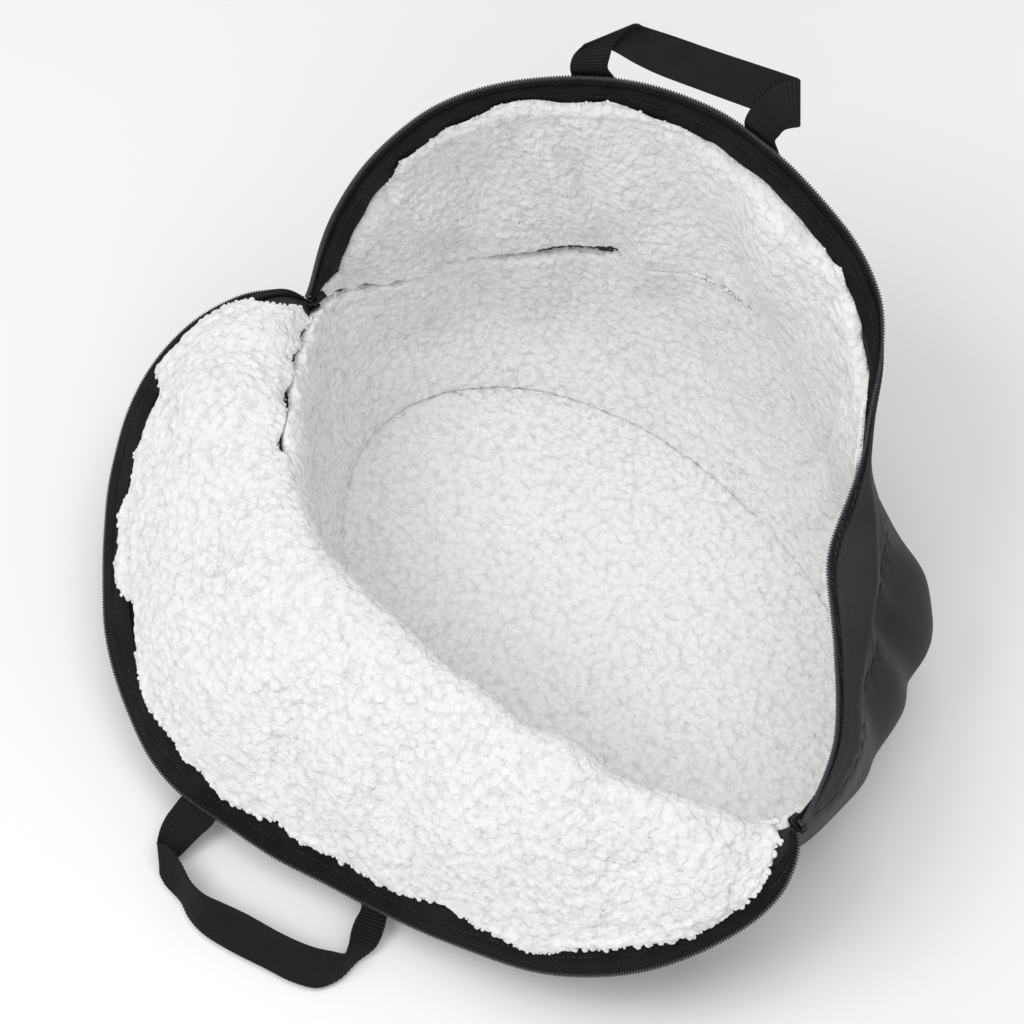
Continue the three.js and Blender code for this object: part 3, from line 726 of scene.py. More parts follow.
def foot_outline(inset):
    """The outline of the tub's foot, set in evenly."""
    outline = []
    for table, turns in tub_columns_at:
        points, inward = on_shell(table, turns, np.zeros((len(turns), 1)), 0.0)
        level = unit(inward[:, 0] * np.array([1, 1, 0]))
        outline.append(points[:, 0] + level * inset)
    return np.concatenate(outline)


base_panel = disc_object(
    "base_panel_cloth", foot_outline(nylon_thickness + 2 * clearance), 0.0, base_thickness, 40
)
base_panel.data.materials.append(nylon)
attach(base_panel, "root")
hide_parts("base_panel")

# Zip tapes
# Woven polyester tape with lengthwise ribs, sewn between each panel and its facing. A narrow
# strip of it shows between the coil and the folded edge of the cloth, inside and out.
tape_depth = nylon_thickness + clearance
tape_thickness = 0.001
tape_rib_pitch = 0.0016
tape_rib_relief = 0.0006

# slanting ribs with painted shade and painted highlight: near black in the hollows and dark grey on the
# crests, so the tape reads as woven
tape_finish, tree, shader = new_material("black woven polyester zip tape", "#1e1e20", 0.75)
shader.inputs["Specular IOR Level"].default_value = 0.15
place = node(tree, "ShaderNodeTexCoord")
ribs = woven_bump(
    tree,
    shader,
    place.outputs["UV"],
    tape_rib_pitch,
    tape_rib_pitch * 1.3,
    tape_rib_relief,
    1.0,
    turn=38,
)
# painted shade in the rib hollows and painted highlight on the rib crests, driven by the rib height
shade = node(tree, "ShaderNodeValToRGB", links={"Fac": ribs.inputs["Height"].links[0].from_socket})
shade.color_ramp.elements[0].color = linear("#121213")
shade.color_ramp.elements[1].color = linear("#353538")
tree.links.new(shade.outputs["Color"], shader.inputs["Base Color"])

for side, table, node_name in (("front", front, "front_zip_tape"), ("back", rear, "back_zip_tape")):
    tape = half_sheet(
        side + "_zip_tape_cloth",
        table,
        cloth_spacing,
        end_margin,
        (
            lambda t, a: from_coil(t, a, tape_width),
            lambda t, a: value_at(t, "total", a) - coil_width / 2,
        ),
        np.linspace(0, 1, 12),
        np.linspace(0, 1, 4),
        tape_depth,
        tape_depth + tape_thickness,
    )
    tape.data.materials.append(tape_finish)
    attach(tape, "root")
    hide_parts(node_name)

# Zip coils
# A nylon filament wound round a cord and sewn to the edge of each tape: closely spaced rounded
# turns with a slight shine, which read as a ribbed bead along the whole rim.
turn_pitch = 0.0017
turn_height = 0.0027
turn_width = 0.0034
core_radius = 0.0006

# smoother and lighter than the cloth, so each turn of the coil carries a small glint
coil_finish, tree, shader = new_material("moulded black nylon coil", "#3c3c3f", 0.32)
place = node(tree, "ShaderNodeTexCoord")
grime = node(
    tree, "ShaderNodeTexNoise", {"Scale": 90.0, "Detail": 3.0}, {"Vector": place.outputs["Object"]}
)
rough = node(tree, "ShaderNodeMapRange", {"To Min": 0.26, "To Max": 0.42}, {"Value": grime.outputs["Fac"]})
tree.links.new(rough.outputs["Result"], shader.inputs["Roughness"])


def repeat_along(name, places, along, up, size, material, detail=(8, 5), grow=1.0):
    """Small rounded shapes set at places, their length along one direction and height along up."""
    carrier = bpy.data.meshes.new(name)
    carrier.from_pydata(places.tolist(), [], [])
    for key, vectors in (("along", along), ("up", up)):
        attribute = carrier.attributes.new(key, "FLOAT_VECTOR", "POINT")
        attribute.data.foreach_set("vector", vectors.astype(np.float32).ravel())
    attribute = carrier.attributes.new("grow", "FLOAT", "POINT")
    attribute.data.foreach_set("value", np.broadcast_to(grow, len(places)).astype(np.float32))
    made = bpy.data.objects.new(name, carrier)
    bpy.context.collection.objects.link(made)
    tree = bpy.data.node_groups.new(name, "GeometryNodeTree")
    tree.interface.new_socket("Geometry", in_out="INPUT", socket_type="NodeSocketGeometry")
    sockets = {}
    for label in ("Length", "Width", "Height"):
        sockets[label] = tree.interface.new_socket(label, in_out="INPUT", socket_type="NodeSocketFloat")
    tree.interface.new_socket("Geometry", in_out="OUTPUT", socket_type="NodeSocketGeometry")
    given = node(tree, "NodeGroupInput")
    bead = node(
        tree,
        "GeometryNodeMeshUVSphere",
        {"Segments": detail[0], "Rings": detail[1], "Radius": 0.5},
    )
    axes = node(tree, "FunctionNodeAxesToRotation", primary_axis="Z", secondary_axis="X")
    for key, socket in (("up", 0), ("along", 1)):
        vector = node(tree, "GeometryNodeInputNamedAttribute", {"Name": key}, data_type="FLOAT_VECTOR")
        tree.links.new(vector.outputs[0], axes.inputs[socket])
    scale = node(
        tree,
        "ShaderNodeCombineXYZ",
        links={"X": given.outputs["Length"], "Y": given.outputs["Width"], "Z": given.outputs["Height"]},
    )
    own_size = node(tree, "GeometryNodeInputNamedAttribute", {"Name": "grow"}, data_type="FLOAT")
    scale = node(
        tree,
        "ShaderNodeVectorMath",
        links={"Vector": scale.outputs[0], "Scale": own_size.outputs[0]},
        operation="SCALE",
    )
    dots = node(
        tree,
        "GeometryNodeInstanceOnPoints",
        links={
            "Points": given.outputs["Geometry"],
            "Instance": bead.outputs["Mesh"],
            "Rotation": axes.outputs[0],
            "Scale": scale.outputs[0],
        },
    )
    real = node(tree, "GeometryNodeRealizeInstances", links={"Geometry": dots.outputs["Instances"]})
    finished = node(
        tree,
        "GeometryNodeSetMaterial",
        {"Material": material},
        {"Geometry": real.outputs["Geometry"]},
    )
    smooth = node(tree, "GeometryNodeSetShadeSmooth", links={"Geometry": finished.outputs["Geometry"]})
    given_out = node(tree, "NodeGroupOutput")
    tree.links.new(smooth.outputs[0], given_out.inputs[0])
    modifier = made.modifiers.new("repeat", "NODES")
    modifier.node_group = tree
    for label, value in zip(("Length", "Width", "Height"), size):
        modifier[sockets[label].identifier] = value
    graph = bpy.context.evaluated_depsgraph_get()
    plain = bpy.data.meshes.new_from_object(made.evaluated_get(graph))
    made.modifiers.clear()
    made.data = plain
    plain.name = name
    return made


def line_on_half(table, turns, lengths, depth):
    """A line on one half, with the directions along it and out of the cloth."""
    points, inward = on_shell(table, turns, lengths[:, None], depth)
    points, inward = points[:, 0], inward[:, 0]
    along = unit(np.gradient(points, axis=0))
    up = unit(-inward + along * np.sum(inward * along, -1, keepdims=True))
    return points, along, up


def join_into(target, others):
    """Joins the other objects to the first, so that they are one piece."""
    for other in others:
        other.select_set(False)
    chosen = [target, *others]
    with bpy.context.temp_override(
        active_object=target, selected_editable_objects=chosen, selected_objects=chosen
    ):
        bpy.ops.object.join()


def tube_object(name, points, up, radius, sides, material):
    """A round cord through points, with closed ends."""
    along = unit(np.gradient(points, axis=0))
    across = unit(np.cross(along, up))
    over = np.cross(across, along)
    angles = 2 * np.pi * np.arange(sides) / sides
    ring = across[:, None] * np.cos(angles)[None, :, None] + over[:, None] * np.sin(angles)[None, :, None]
    verts = (points[:, None] + radius * ring).reshape(-1, 3)
    count = len(points)
    faces = []
    for i in range(count - 1):
        for k in range(sides):
            n = (k + 1) % sides
            faces.append((i * sides + k, i * sides + n, (i + 1) * sides + n, (i + 1) * sides + k))
    faces.append(list(range(sides))[::-1])
    faces.append([(count - 1) * sides + k for k in range(sides)])
    mesh = bpy.data.meshes.new(name)
    mesh.from_pydata(verts.tolist(), [], faces)
    mesh.shade_smooth()
    mesh.materials.append(material)
    made = bpy.data.objects.new(name, mesh)
    bpy.context.collection.objects.link(made)
    return made


coil_margin = 0.4
coil_depth = tape_depth + tape_thickness / 2
for side, table, node_name in (("front", front, "front_zip_coil"), ("back", rear, "back_zip_coil")):
    turns = even_turns(table, 1.0, turn_pitch, coil_margin)[0]
    middle = value_at(table, "total", turns) - coil_width / 2
    points, along, up = line_on_half(table, turns, middle, coil_depth)
    coil = repeat_along(
        side + "_zip_coil_turns",
        points,
        unit(np.cross(up, along) + 0.18 * along),
        up,
        (turn_width, turn_pitch * 0.72, turn_height),
        coil_finish,
    )
    core = tube_object(side + "_zip_coil_core", points[::3], up[::3], core_radius, 6, coil_finish)
    join_into(coil, [core])
    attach(coil, "root")
    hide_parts(node_name)

# Facings
# A smooth black twill strip that finishes the inside of each rim, sewn through to the panel with
# one row of black thread near its middle.
facing_depth = tape_depth + tape_thickness + clearance
facing_thickness = 0.0012
facing_show = 0.0045
twill_pitch = 0.0018
stitch_pitch = 0.0034
stitch_size = (0.0027, 0.0007, 0.0006)
stitch_margin = 3.0
inner_stitch_inset = 0.008
outer_stitch_inset = 0.0022
facing_spacing = 0.0022
facing_swell = 0.0006
facing_wave = 0.0005
facing_wave_length = 0.031

# the deepest black of the bag, with fine slanting ribs and hardly any shine
twill, tree, shader = new_material("black polyester twill", "#161617", 0.7)
shader.inputs["Specular IOR Level"].default_value = 0.12
place = node(tree, "ShaderNodeTexCoord")
wear = node(tree, "ShaderNodeTexNoise", {"Scale": 60.0, "Detail": 5.0}, {"Vector": place.outputs["Object"]})
shade = node(tree, "ShaderNodeValToRGB", links={"Fac": wear.outputs["Fac"]})
shade.color_ramp.elements[0].position = 0.35
shade.color_ramp.elements[0].color = linear("#131314")
shade.color_ramp.elements[1].position = 0.7
shade.color_ramp.elements[1].color = linear("#1d1d1f")
tree.links.new(shade.outputs["Color"], shader.inputs["Base Color"])
woven_bump(tree, shader, place.outputs["UV"], twill_pitch, twill_pitch * 4, 0.00018, 0.6, turn=52)

# slightly lighter and smoother than the twill, so the rows of stitches show as fine dashes
thread, tree, shader = new_material("black polyester sewing thread", "#28282a", 0.55)
place = node(tree, "ShaderNodeTexCoord")
ply = node(tree, "ShaderNodeTexNoise", {"Scale": 900.0}, {"Vector": place.outputs["Object"]})
bump = node(tree, "ShaderNodeBump", {"Strength": 0.4, "Distance": 0.0001}, {"Height": ply.outputs["Fac"]})
tree.links.new(bump.outputs["Normal"], shader.inputs["Normal"])


def facing_relief(table, turns, lengths, run):
    """The face of the border, with its groove of stitches, waves and rolled edge."""
    near = from_coil(table, turns, facing_show)[:, None]
    stitch = near - inner_stitch_inset * taper(table, turns)[:, None]
    groove = 0.0007 * np.exp(-(((lengths - stitch) / 0.0012) ** 2))
    phase = 2 * np.pi * run[:, None] / facing_wave_length + 1.7 * np.sin(run[:, None] * 37)
    wave = facing_wave * np.sin(phase)
    roll = 0.0008 * np.exp(-(((near - lengths) / roll_reach) ** 2))
    return facing_depth + facing_thickness + facing_swell + wave - groove - roll


for side, table, node_name in (("front", front, "front_facing"), ("back", rear, "back_facing")):
    facing = half_sheet(
        side + "_facing_cloth",
        table,
        facing_spacing,
        end_margin + 0.5,
        (
            lambda t, a: from_coil(t, a, facing_width),
            lambda t, a: from_coil(t, a, facing_show),
        ),
        np.concatenate([np.linspace(0, 0.9, 22), np.linspace(0.92, 1, 7)]),
        np.linspace(0, 1, 4),
        facing_depth,
        facing_relief,
    )
    facing.data.materials.append(twill)
    turns = even_turns(table, 1.0, stitch_pitch, stitch_margin)[0]
    inside = from_coil(table, turns, facing_show) - inner_stitch_inset * taper(table, turns)
    points, along, up = line_on_half(table, turns, inside, facing_depth + facing_thickness)
    inner_row = repeat_along(side + "_facing_stitches", points, along, -up, stitch_size, thread, (6, 4))
    outside = from_coil(table, turns, tape_show) - outer_stitch_inset
    points, along, up = line_on_half(table, turns, outside, 0.0)
    outer_row = repeat_along(side + "_hem_stitches", points, along, up, stitch_size, thread, (6, 4))
    join_into(facing, [inner_row, outer_row])
    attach(facing, "root")
    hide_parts(node_name)

# Sherpa fleece linings
# Thick white sherpa: a knitted backing with a curled pile that clumps into rounded tufts three to
# seven millimetres across, with shallow hollows between them. Where it is cut, curls stand loose.
fleece_depth = nylon_thickness + clearance
fleece_thickness = 0.0052
tuft_size = 0.0066
small_tuft_size = 0.0031
tuft_height = 0.0016
small_tuft_height = 0.0009
pebble_size = 0.0056
curl_size = 0.0026
pebble_wander = 0.0040
pebble_crown = 0.0014
curl_crown = 0.0006
fibre_depth = 0.00018
fleece_lay = 0.0004
cloth_seam_lift = 0.0014
curl_body = (0.0042, 0.0033, 0.0029)
rim_curl_pitch = 0.0021
seam_curl_pitch = 0.0026
seam_curl_inset = 0.0012
seam_halves_gap = 0.0002
fleece_height = 0.13

# a soft bright white with painted shade, greyer in the hollows between the tufts, and the faint glow of
# fine fibres
sherpa, tree, shader = new_material("white polyester sherpa pile", "#f3f3f3", 0.95)
shader.inputs["Sheen Weight"].default_value = 0.3
shader.inputs["Sheen Roughness"].default_value = 0.6
shader.inputs["Specular IOR Level"].default_value = 0.08
place = node(tree, "ShaderNodeTexCoord")
drift = node(
    tree, "ShaderNodeTexNoise", {"Scale": 230.0, "Detail": 2.0}, {"Vector": place.outputs["Object"]}
)
centred = node(
    tree, "ShaderNodeVectorMath", {1: (0.5, 0.5, 0.5)}, {0: drift.outputs["Color"]}, operation="SUBTRACT"
)
wander = node(
    tree,
    "ShaderNodeVectorMath",
    {1: (pebble_wander, pebble_wander, pebble_wander)},
    {0: centred.outputs[0], 2: place.outputs["Object"]},
    operation="MULTIPLY_ADD",
)


def pebbles(tree, size):
    """Rounded clumps, by the distance of each spot from its own clump's middle."""
    return node(
        tree,
        "ShaderNodeTexVoronoi",
        {"Scale": 1 / size, "Randomness": 0.95},
        {"Vector": wander.outputs[0]},
        feature="F1",
    )


def sum_of(tree, first, second, factor):
    """The first height with the second, times a factor, added to it."""
    scaled = node(tree, "ShaderNodeMath", {1: factor, 2: 0.0}, {0: second}, operation="MULTIPLY_ADD")
    if first is not None:
        tree.links.new(first, scaled.inputs[2])
    return scaled.outputs[0]


def dome_of(tree, source):
    """A distance made into the round side of a dome."""
    return node(tree, "ShaderNodeMath", links={0: source, 1: source}, operation="MULTIPLY").outputs[0]


crown = pebbles(tree, pebble_size)
small_crown = pebbles(tree, curl_size)
fibre = node(
    tree,
    "ShaderNodeTexNoise",
    {"Scale": 620.0, "Detail": 2.0, "Roughness": 0.7},
    {"Vector": place.outputs["Object"]},
)
hollow = dome_of(tree, crown.outputs["Distance"])
height = sum_of(tree, None, hollow, -pebble_crown)
height = sum_of(tree, height, dome_of(tree, small_crown.outputs["Distance"]), -curl_crown)
height = sum_of(tree, height, fibre.outputs["Fac"], fibre_depth)
bump = node(tree, "ShaderNodeBump", {"Strength": 1.0, "Distance": 1.0}, {"Height": height})
tree.links.new(bump.outputs["Normal"], shader.inputs["Normal"])
# painted shade: the colour greys from each tuft's middle towards the hollows at its edge
painted_hollow_shade = node(tree, "ShaderNodeValToRGB", links={"Fac": hollow})
painted_hollow_shade.color_ramp.elements[0].position = 0.1
painted_hollow_shade.color_ramp.elements[0].color = linear("#f3f3f2")
painted_hollow_shade.color_ramp.elements[1].position = 0.6
painted_hollow_shade.color_ramp.elements[1].color = linear("#e8e8e7")
tree.links.new(painted_hollow_shade.outputs["Color"], shader.inputs["Base Color"])


def scatter(a, b, seed):
    """An even pseudo-random number from 0 to 1 for each pair of whole numbers."""
    value = np.sin(a * 127.1 + b * 311.7 + seed * 74.7) * 43758.5453
    return value - np.floor(value)


def tufts(u, v, size, seed, wrap=None):
    """Distances to the nearest and second nearest tuft centre, and the nearest tuft's own number."""
    a, b = u / size, v / size
    ia, ib = np.floor(a), np.floor(b)
    first = np.full(a.shape, 9.0)
    second = np.full(a.shape, 9.0)
    own = np.zeros(a.shape)
    for da in (-1, 0, 1):
        for db in (-1, 0, 1):
            ca, cb = ia + da, ib + db
            key = np.mod(ca, wrap) if wrap else ca
            away = np.hypot(
                a - ca - 0.12 - 0.76 * scatter(key, cb, seed),
                b - cb - 0.12 - 0.76 * scatter(key, cb, seed + 1),
            )
            nearer = away < first
            second = np.where(nearer, first, np.minimum(second, away))
            own = np.where(nearer, scatter(key, cb, seed + 2), own)
            first = np.where(nearer, away, first)
    return first, second, own


def tuft_layer(u, v, size, seed, around):
    """The height of one size of tufts: a dome each, with soft creases between."""
    wrap = round(around / size) if around else None
    first, second, own = tufts(u, v, around / wrap if around else size, seed, wrap)
    dome = np.clip(1 - (first / 0.85) ** 2, 0, 1)
    gap = np.clip((second - first) / 0.3, 0, 1)
    edge = gap * gap * (3 - 2 * gap)
    return (0.4 + 0.6 * own) * (0.55 * dome + 0.45 * edge)


def pile_height(u, v, seed, around=None, stretch=1.0, lean=0.0):
    """Height of the pile over its backing."""
    angle = math.radians(lean)
    a = (u * math.cos(angle) + v * math.sin(angle)) / stretch
    b = -u * math.sin(angle) + v * math.cos(angle)
    twist = 2 * np.pi / around if around else 1.0
    knots = (52, 121) if around else (290.0, 691.0)
    b = b + 0.0014 * np.sin(u * twist * knots[0] + 0.7) + 0.0009 * np.sin(u * twist * knots[1] - v * 220)
    if not around:
        a = a + 0.0014 * np.sin(v * 310 + 1.3) + 0.0009 * np.sin(v * 733 + u * 190)
    big = tuft_layer(a, b, tuft_size, seed, around)
    small = tuft_layer(a, b, small_tuft_size, seed + 7, around)
    return tuft_height * big + small_tuft_height * small


def ragged(run, reach, seed):
    """How far a cut edge of the pile wanders, along its run."""
    slow = np.sin(run * 96 + seed) + 0.6 * np.sin(run * 171 + 2 * seed) + 0.35 * np.sin(run * 47 + seed)
    first, _, own = tufts(run, 0 * run + seed, 0.0058, seed + 3)
    return reach * (0.35 * slow + 0.9 * (own - 0.5) + 0.5 * (0.5 - first))


# where the lining's seam stands open and shows the black cloth behind: turn, spread and width
opening_rows = [
    (129.5, 2.0, 0.0064),
    (134, 4.0, 0.0070),
    (141, 4.5, 0.0060),
    (149, 3.0, 0.0036),
    (172, 1.6, 0.0030),
    (178, 2.0, 0.0044),
    (184, 1.6, 0.0040),
    (199, 1.6, 0.0036),
    (205, 2.0, 0.0040),
    (215, 2.6, 0.0040),
    (226, 2.0, 0.0026),
]
# how far below the bag's own seam the lining is joined, and its folds, noted as the outer folds are
seam_drop_rows = [
    (-11, 0),
    (95, 0),
    (118, 0.010),
    (152, 0.011),
    (172, 0.003),
    (185, 0),
    (226, 0),
    (240, 0.013),
    (336, 0.013),
    (346, 0),
    (360, 0),
]
lining_fold_rows = [
    (128.6, 1.2, -0.0050, 0.66, 1.6, 5),
    (133.5, 3.4, 0.0080, 1.0, 1.75, 4),
    (122.5, 3.8, 0.0095, 0.7, 1.8, 5),
    (106, 8, -0.0050, 0.7, 1.5, 0),
    (94, 7, 0.0100, 1.0, 1.9, -6),
    (79, 1.6, -0.0048, 0.12, 1.1, -8),
    (72, 4.5, 0.0110, 0.12, 1.4, -8),
    (113, 2.4, -0.0042, 1.05, 1.85, 9),
    (149, 5, -0.0046, 1.1, 1.85, 4),
    (161, 5, 0.0075, 1.05, 1.85, 5),
    (214, 7, 0.0030, 1.1, 1.8, 4),
    (231, 8, -0.0032, 1.1, 1.9, 8),
    (250, 8, 0.0030, 1.1, 1.8, -6),
    (272, 8, -0.0032, 1.1, 1.9, 8),
    (296, 8, 0.0030, 1.1, 1.85, -6),
    (318, 6, -0.0028, 1.1, 1.8, 0),
]


def lining_seam(table, turns):
    """The length to the lining's own seam, which hangs under the cloth's seam in places."""
    at, drop = np.array(seam_drop_rows).T
    return value_at(table, "seam", turns) - np.interp(turns, at, drop)


def lining_folds(table, turns, lengths):
    """How far the broad folds of the fleece stand in from the cloth."""
    seam = value_at(table, "seam", turns)[:, None]
    total = value_at(table, "total", turns)[:, None]
    heights = np.where(lengths < seam, lengths / seam, 1 + (lengths - seam) / (total - seam))
    depth = np.zeros(lengths.shape)
    for row in lining_fold_rows:
        fold = dict(zip(fold_columns, row))
        along = np.clip((heights - fold["low"]) / (fold["high"] - fold["low"]), 0, 1)
        centre = fold["turn"] + fold["lean"] * (along - 0.5)
        away = (turns[:, None] - centre) / fold["spread"]
        depth += fold["depth"] * np.exp(-(away**2)) * np.sin(np.pi * along)
    return depth


# how far the fleece ends from the rim, by turn, in millimetres
front_edge_rows = [
    (195, 22), (197, 27), (199, 26), (201, 15), (203, 15), (206, 19), (209, 18), (211, 15.5), (213, 13),
    (215, 23), (217, 30), (220, 31), (223, 28.5), (229, 27.5), (231, 22), (235, 23), (237, 19),
    (239, 19.5), (241, 24.5), (243, 32), (247, 28.5), (249, 25), (253, 23.5), (257, 27), (261, 25.5),
    (263, 28), (267, 22.5), (269, 21), (273, 26.5), (276, 28), (281, 24.5), (287, 26), (291, 25),
    (297, 27.5), (301, 27.5), (305, 25), (308, 20.5), (311, 17), (316, 21.5), (323, 21), (327, 17.5),
    (331, 15), (334, 18), (339, 18.5), (345, 18.5),
]
back_edge_rows = [
    (-7, 9), (8, 8.5), (20, 8.5), (34, 8), (44, 9), (52, 14), (60, 24), (65, 38), (68, 40), (70.5, 38),
    (73, 29), (75.5, 30), (78, 22.5), (80.5, 28), (83, 29.5), (87, 32.5), (92, 30), (95.5, 32),
    (98, 30.5), (101, 33), (103, 33), (107, 28.5), (110.5, 24.5), (115, 25), (118, 21.5), (120.5, 17.5),
    (125, 20), (128, 21), (133, 15.5), (138, 16), (143, 20.5), (148, 21), (151, 23), (156, 22),
    (158, 19.5), (160.5, 26.5), (165, 31.5), (169, 31.5), (175, 30.5), (179, 32), (182, 36), (186, 26),
]


def fleece_edge(table, turns, rows):
    """The length to the cut edge of the fleece."""
    at, reach = np.array(rows).T
    drawn = np.interp(turns, at, reach) / 1000
    for _ in range(3):
        drawn[1:-1] = (drawn[:-2] + 2 * drawn[1:-1] + drawn[2:]) / 4
    room = value_at(table, "total", turns) - value_at(table, "seam", turns)
    return value_at(table, "total", turns) - np.minimum(drawn, 0.62 * room)


def seam_opening(turns, run, seed):
    """Half the width of the gap where the lining's seam stands open."""
    width = np.zeros(turns.shape)
    for turn, reach, open_width in opening_rows:
        width += open_width * np.exp(-(((turns - turn) / reach) ** 2))
    ragged_width = width * (1 + 0.16 * np.sin(run * 900 + seed) + 0.12 * np.sin(run * 1570))
    return np.maximum(ragged_width, 0) / 2


def edge_profile(distance, reach, floor_share):
    """The share of its height that the pile has near an edge, as a quarter round."""
    near = np.clip(distance / reach, 0, 1)
    return floor_share + (1 - floor_share) * np.sqrt(np.clip(1 - (1 - near) ** 2, 0, 1))


def shares_for(length, spacing, edge=(0.0002, 0.0006, 0.0012, 0.002, 0.003)):
    """Rows for the pile: close together at both edges and even between them."""
    inner = np.linspace(edge[-1] + spacing, length - edge[-1] - spacing, int(length / spacing))
    places = np.concatenate([[0], edge, inner, length - np.array(edge)[::-1], [length]])
    return places / length


def edge_tufts(name, table, line, depth, seed, pitch, share):
    """Loose curls along a cut edge of the fleece."""
    turns = even_turns(table, 0.9, pitch, fleece_margin)[0]
    count = np.arange(len(turns))
    turns = turns + 0.25 * (scatter(count, 0, seed) - 0.5)
    lengths = line(turns) + 0.0022 * (scatter(count, 1, seed) - 0.6)
    depths = depth(turns) + 0.0012 * scatter(count, 2, seed)
    points, inward = on_shell(table, turns, lengths[:, None], depths[:, None])
    points, inward = points[:, 0], inward[:, 0]
    way = np.stack([scatter(count, k, seed) - 0.5 for k in (3, 4, 5)], -1)
    up = unit(inward + 0.8 * way)
    along = unit(np.cross(up, way + np.array([0.3, 0.1, 0.2])))
    grow = share(turns) * (0.6 + 0.75 * scatter(count, 6, seed) ** 1.5)
    return repeat_along(name, points, along, up, curl_body, sherpa, (8, 6), grow)


def seam_curl_share(turns):
    """The curls stay clear of the seam where it stands open."""
    return 0.65 * (1 - 0.85 * np.clip(seam_opening(turns, 0 * turns, 0) / 0.0022, 0, 1))


def curl_depth(above_backing):
    """The curls stay on the inner side of the black cloth."""
    return fleece_depth + np.maximum(above_backing, 0.0038)


fleece_margin = 3.6
slim_reach = 0.055


# close rows where the backing turns over the seam, wider ones above
lining_under_shares = np.concatenate(
    [np.linspace(0, 0.3, 15), np.linspace(0.36, 0.9, 8), [0.93, 0.97, 1]]
)


def half_fleece(name, table, spacing, seed, edge, brushed=None):
    """The fleece of one half; brushed says where its pile lies flat and how it leans."""
    turns, run = even_turns(table, 0.55, spacing, fleece_margin)
    opening = seam_opening(turns, run, seed)
    start = lining_seam(table, turns) + seam_halves_gap + opening
    rough = np.interp(turns, *edge["rough"]) * ragged(run, 0.0017, seed + 5)
    stop = fleece_edge(table, turns, edge["rows"]) - edge["held_back"] + rough
    shares = shares_for(fleece_height, spacing)
    lengths = spread(start, stop, shares)
    u = np.broadcast_to(run[:, None], lengths.shape)
    pile = pile_height(u, lengths, seed)
    if brushed:
        flat = pile_height(u, lengths, seed, stretch=2.1, lean=brushed["lean"])
        mask = np.clip((brushed["turn"] - turns) / brushed["fade"], 0, 1)[:, None]
        mask = mask * mask * (3 - 2 * mask)
        pile = pile * (1 - mask) + 0.7 * flat * mask
    from_end = np.minimum(run, run[-1] - run)
    from_edge = np.minimum(stop[:, None] - lengths, from_end[:, None] + 0.0004)
    rounded = edge_profile(from_edge, edge["reach"], 0.0) ** edge["steep"]
    open_share = np.clip(opening / 0.0012, 0, 1)[:, None]
    thinned = edge_profile(lengths - start[:, None], 0.0013 + 0.0075 * open_share, 0.8 - 0.75 * open_share)
    rounded = rounded * thinned
    slim = 0.5 + 0.5 * np.clip(from_end / slim_reach, 0, 1)[:, None]
    lift_line = from_coil(table, turns, facing_width)[:, None] - 0.003
    seam_line = value_at(table, "seam", turns)[:, None]

    def bottom_at(places):
        lifted = np.clip((places - lift_line) / 0.003, 0, 1)
        over_seam = cloth_seam_lift * np.exp(-(((places - seam_line) / 0.004) ** 2))
        return fleece_depth + over_seam + (facing_top - fleece_depth) * lifted * lifted * (3 - 2 * lifted)

    bottom = bottom_at(lengths)
    body = slim * fleece_thickness - (bottom - fleece_depth) * 0.6
    folds = lining_folds(table, turns, lengths)
    top = bottom + fleece_lay + (np.maximum(body + folds, 0.001) + slim * pile) * rounded
    face = on_shell(table, turns, lengths, top)[0]
    under_lengths = spread(start, stop, lining_under_shares)
    under = on_shell(table, turns, under_lengths, bottom_at(under_lengths))[0]
    made = sheet_object(name, face, under, run, lengths - start[:, None])
    made.data.materials.append(sherpa)
    rim_curls = edge_tufts(
        name + "_edge",
        table,
        lambda t: np.interp(t, turns, stop),
        lambda t: np.interp(t, turns, bottom_at(stop[:, None])[:, 0]) + edge["curl_lift"],
        seed,
        rim_curl_pitch,
        lambda t: edge["curls"] + 0 * t,
    )
    seam_curls = edge_tufts(
        name + "_seam",
        table,
        lambda t: np.interp(t, turns, start) + seam_curl_inset,
        lambda t: np.interp(t, turns, curl_depth(0.6 * slim[:, 0] * fleece_thickness + folds[:, 3])),
        seed + 3,
        seam_curl_pitch,
        seam_curl_share,
    )
    join_into(made, [rim_curls, seam_curls])
    return made


facing_top = facing_depth + facing_thickness + 0.0013
fleece_spacing = 0.00135
front_edge = {
    "rows": front_edge_rows,
    "rough": ((0, 360), (1, 1)),
    "held_back": 0.0019,
    "reach": 0.0042,
    "steep": 1.0,
    "curls": 0.9,
    "curl_lift": 0.0009,
}
back_edge = {
    "rows": back_edge_rows,
    "rough": ((40, 110, 150), (0.15, 0.35, 0.8)),
    "held_back": 0.0,
    "reach": 0.0150,
    "steep": 1.7,
    "curls": 0.5,
    "curl_lift": 0.0003,
}
front_fleece = half_fleece("front_sherpa", front, fleece_spacing, 11, front_edge)
brushed_end = {"turn": 128, "fade": 26, "lean": 28}
back_fleece = half_fleece("back_sherpa", rear, fleece_spacing, 23, back_edge, brushed_end)
for fleece, node_name, cut, held, area in (
    (front_fleece, "front_lining", (0.80, 0.155), "folded", 0.066),
    (back_fleece, "back_lining", (0.78, 0.130), "hung", 0.052),
):
    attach(fleece, "root")
    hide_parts(node_name)

fleece_columns, fleece_run, fleece_round = ring_columns(fleece_spacing)
split_at = len(fleece_columns[0][1])
fleece_runs = {id(rear): fleece_run[:split_at], id(front): fleece_run[split_at:]}
lining_lift = base_thickness + 2 * clearance + fleece_thickness
tub_fleece_shares = shares_for(fleece_height, fleece_spacing * 1.6)
tub_seed = 31


def tub_fleece_lengths(shares):
    """Lengths up the tub's fleece, from the base lining to its own seam."""
    def made(table, turns):
        run = fleece_runs[id(table)]
        top = lining_seam(table, turns) - seam_halves_gap - seam_opening(turns, run, tub_seed)
        return spread(0 * top + lining_lift, top, shares)

    return made


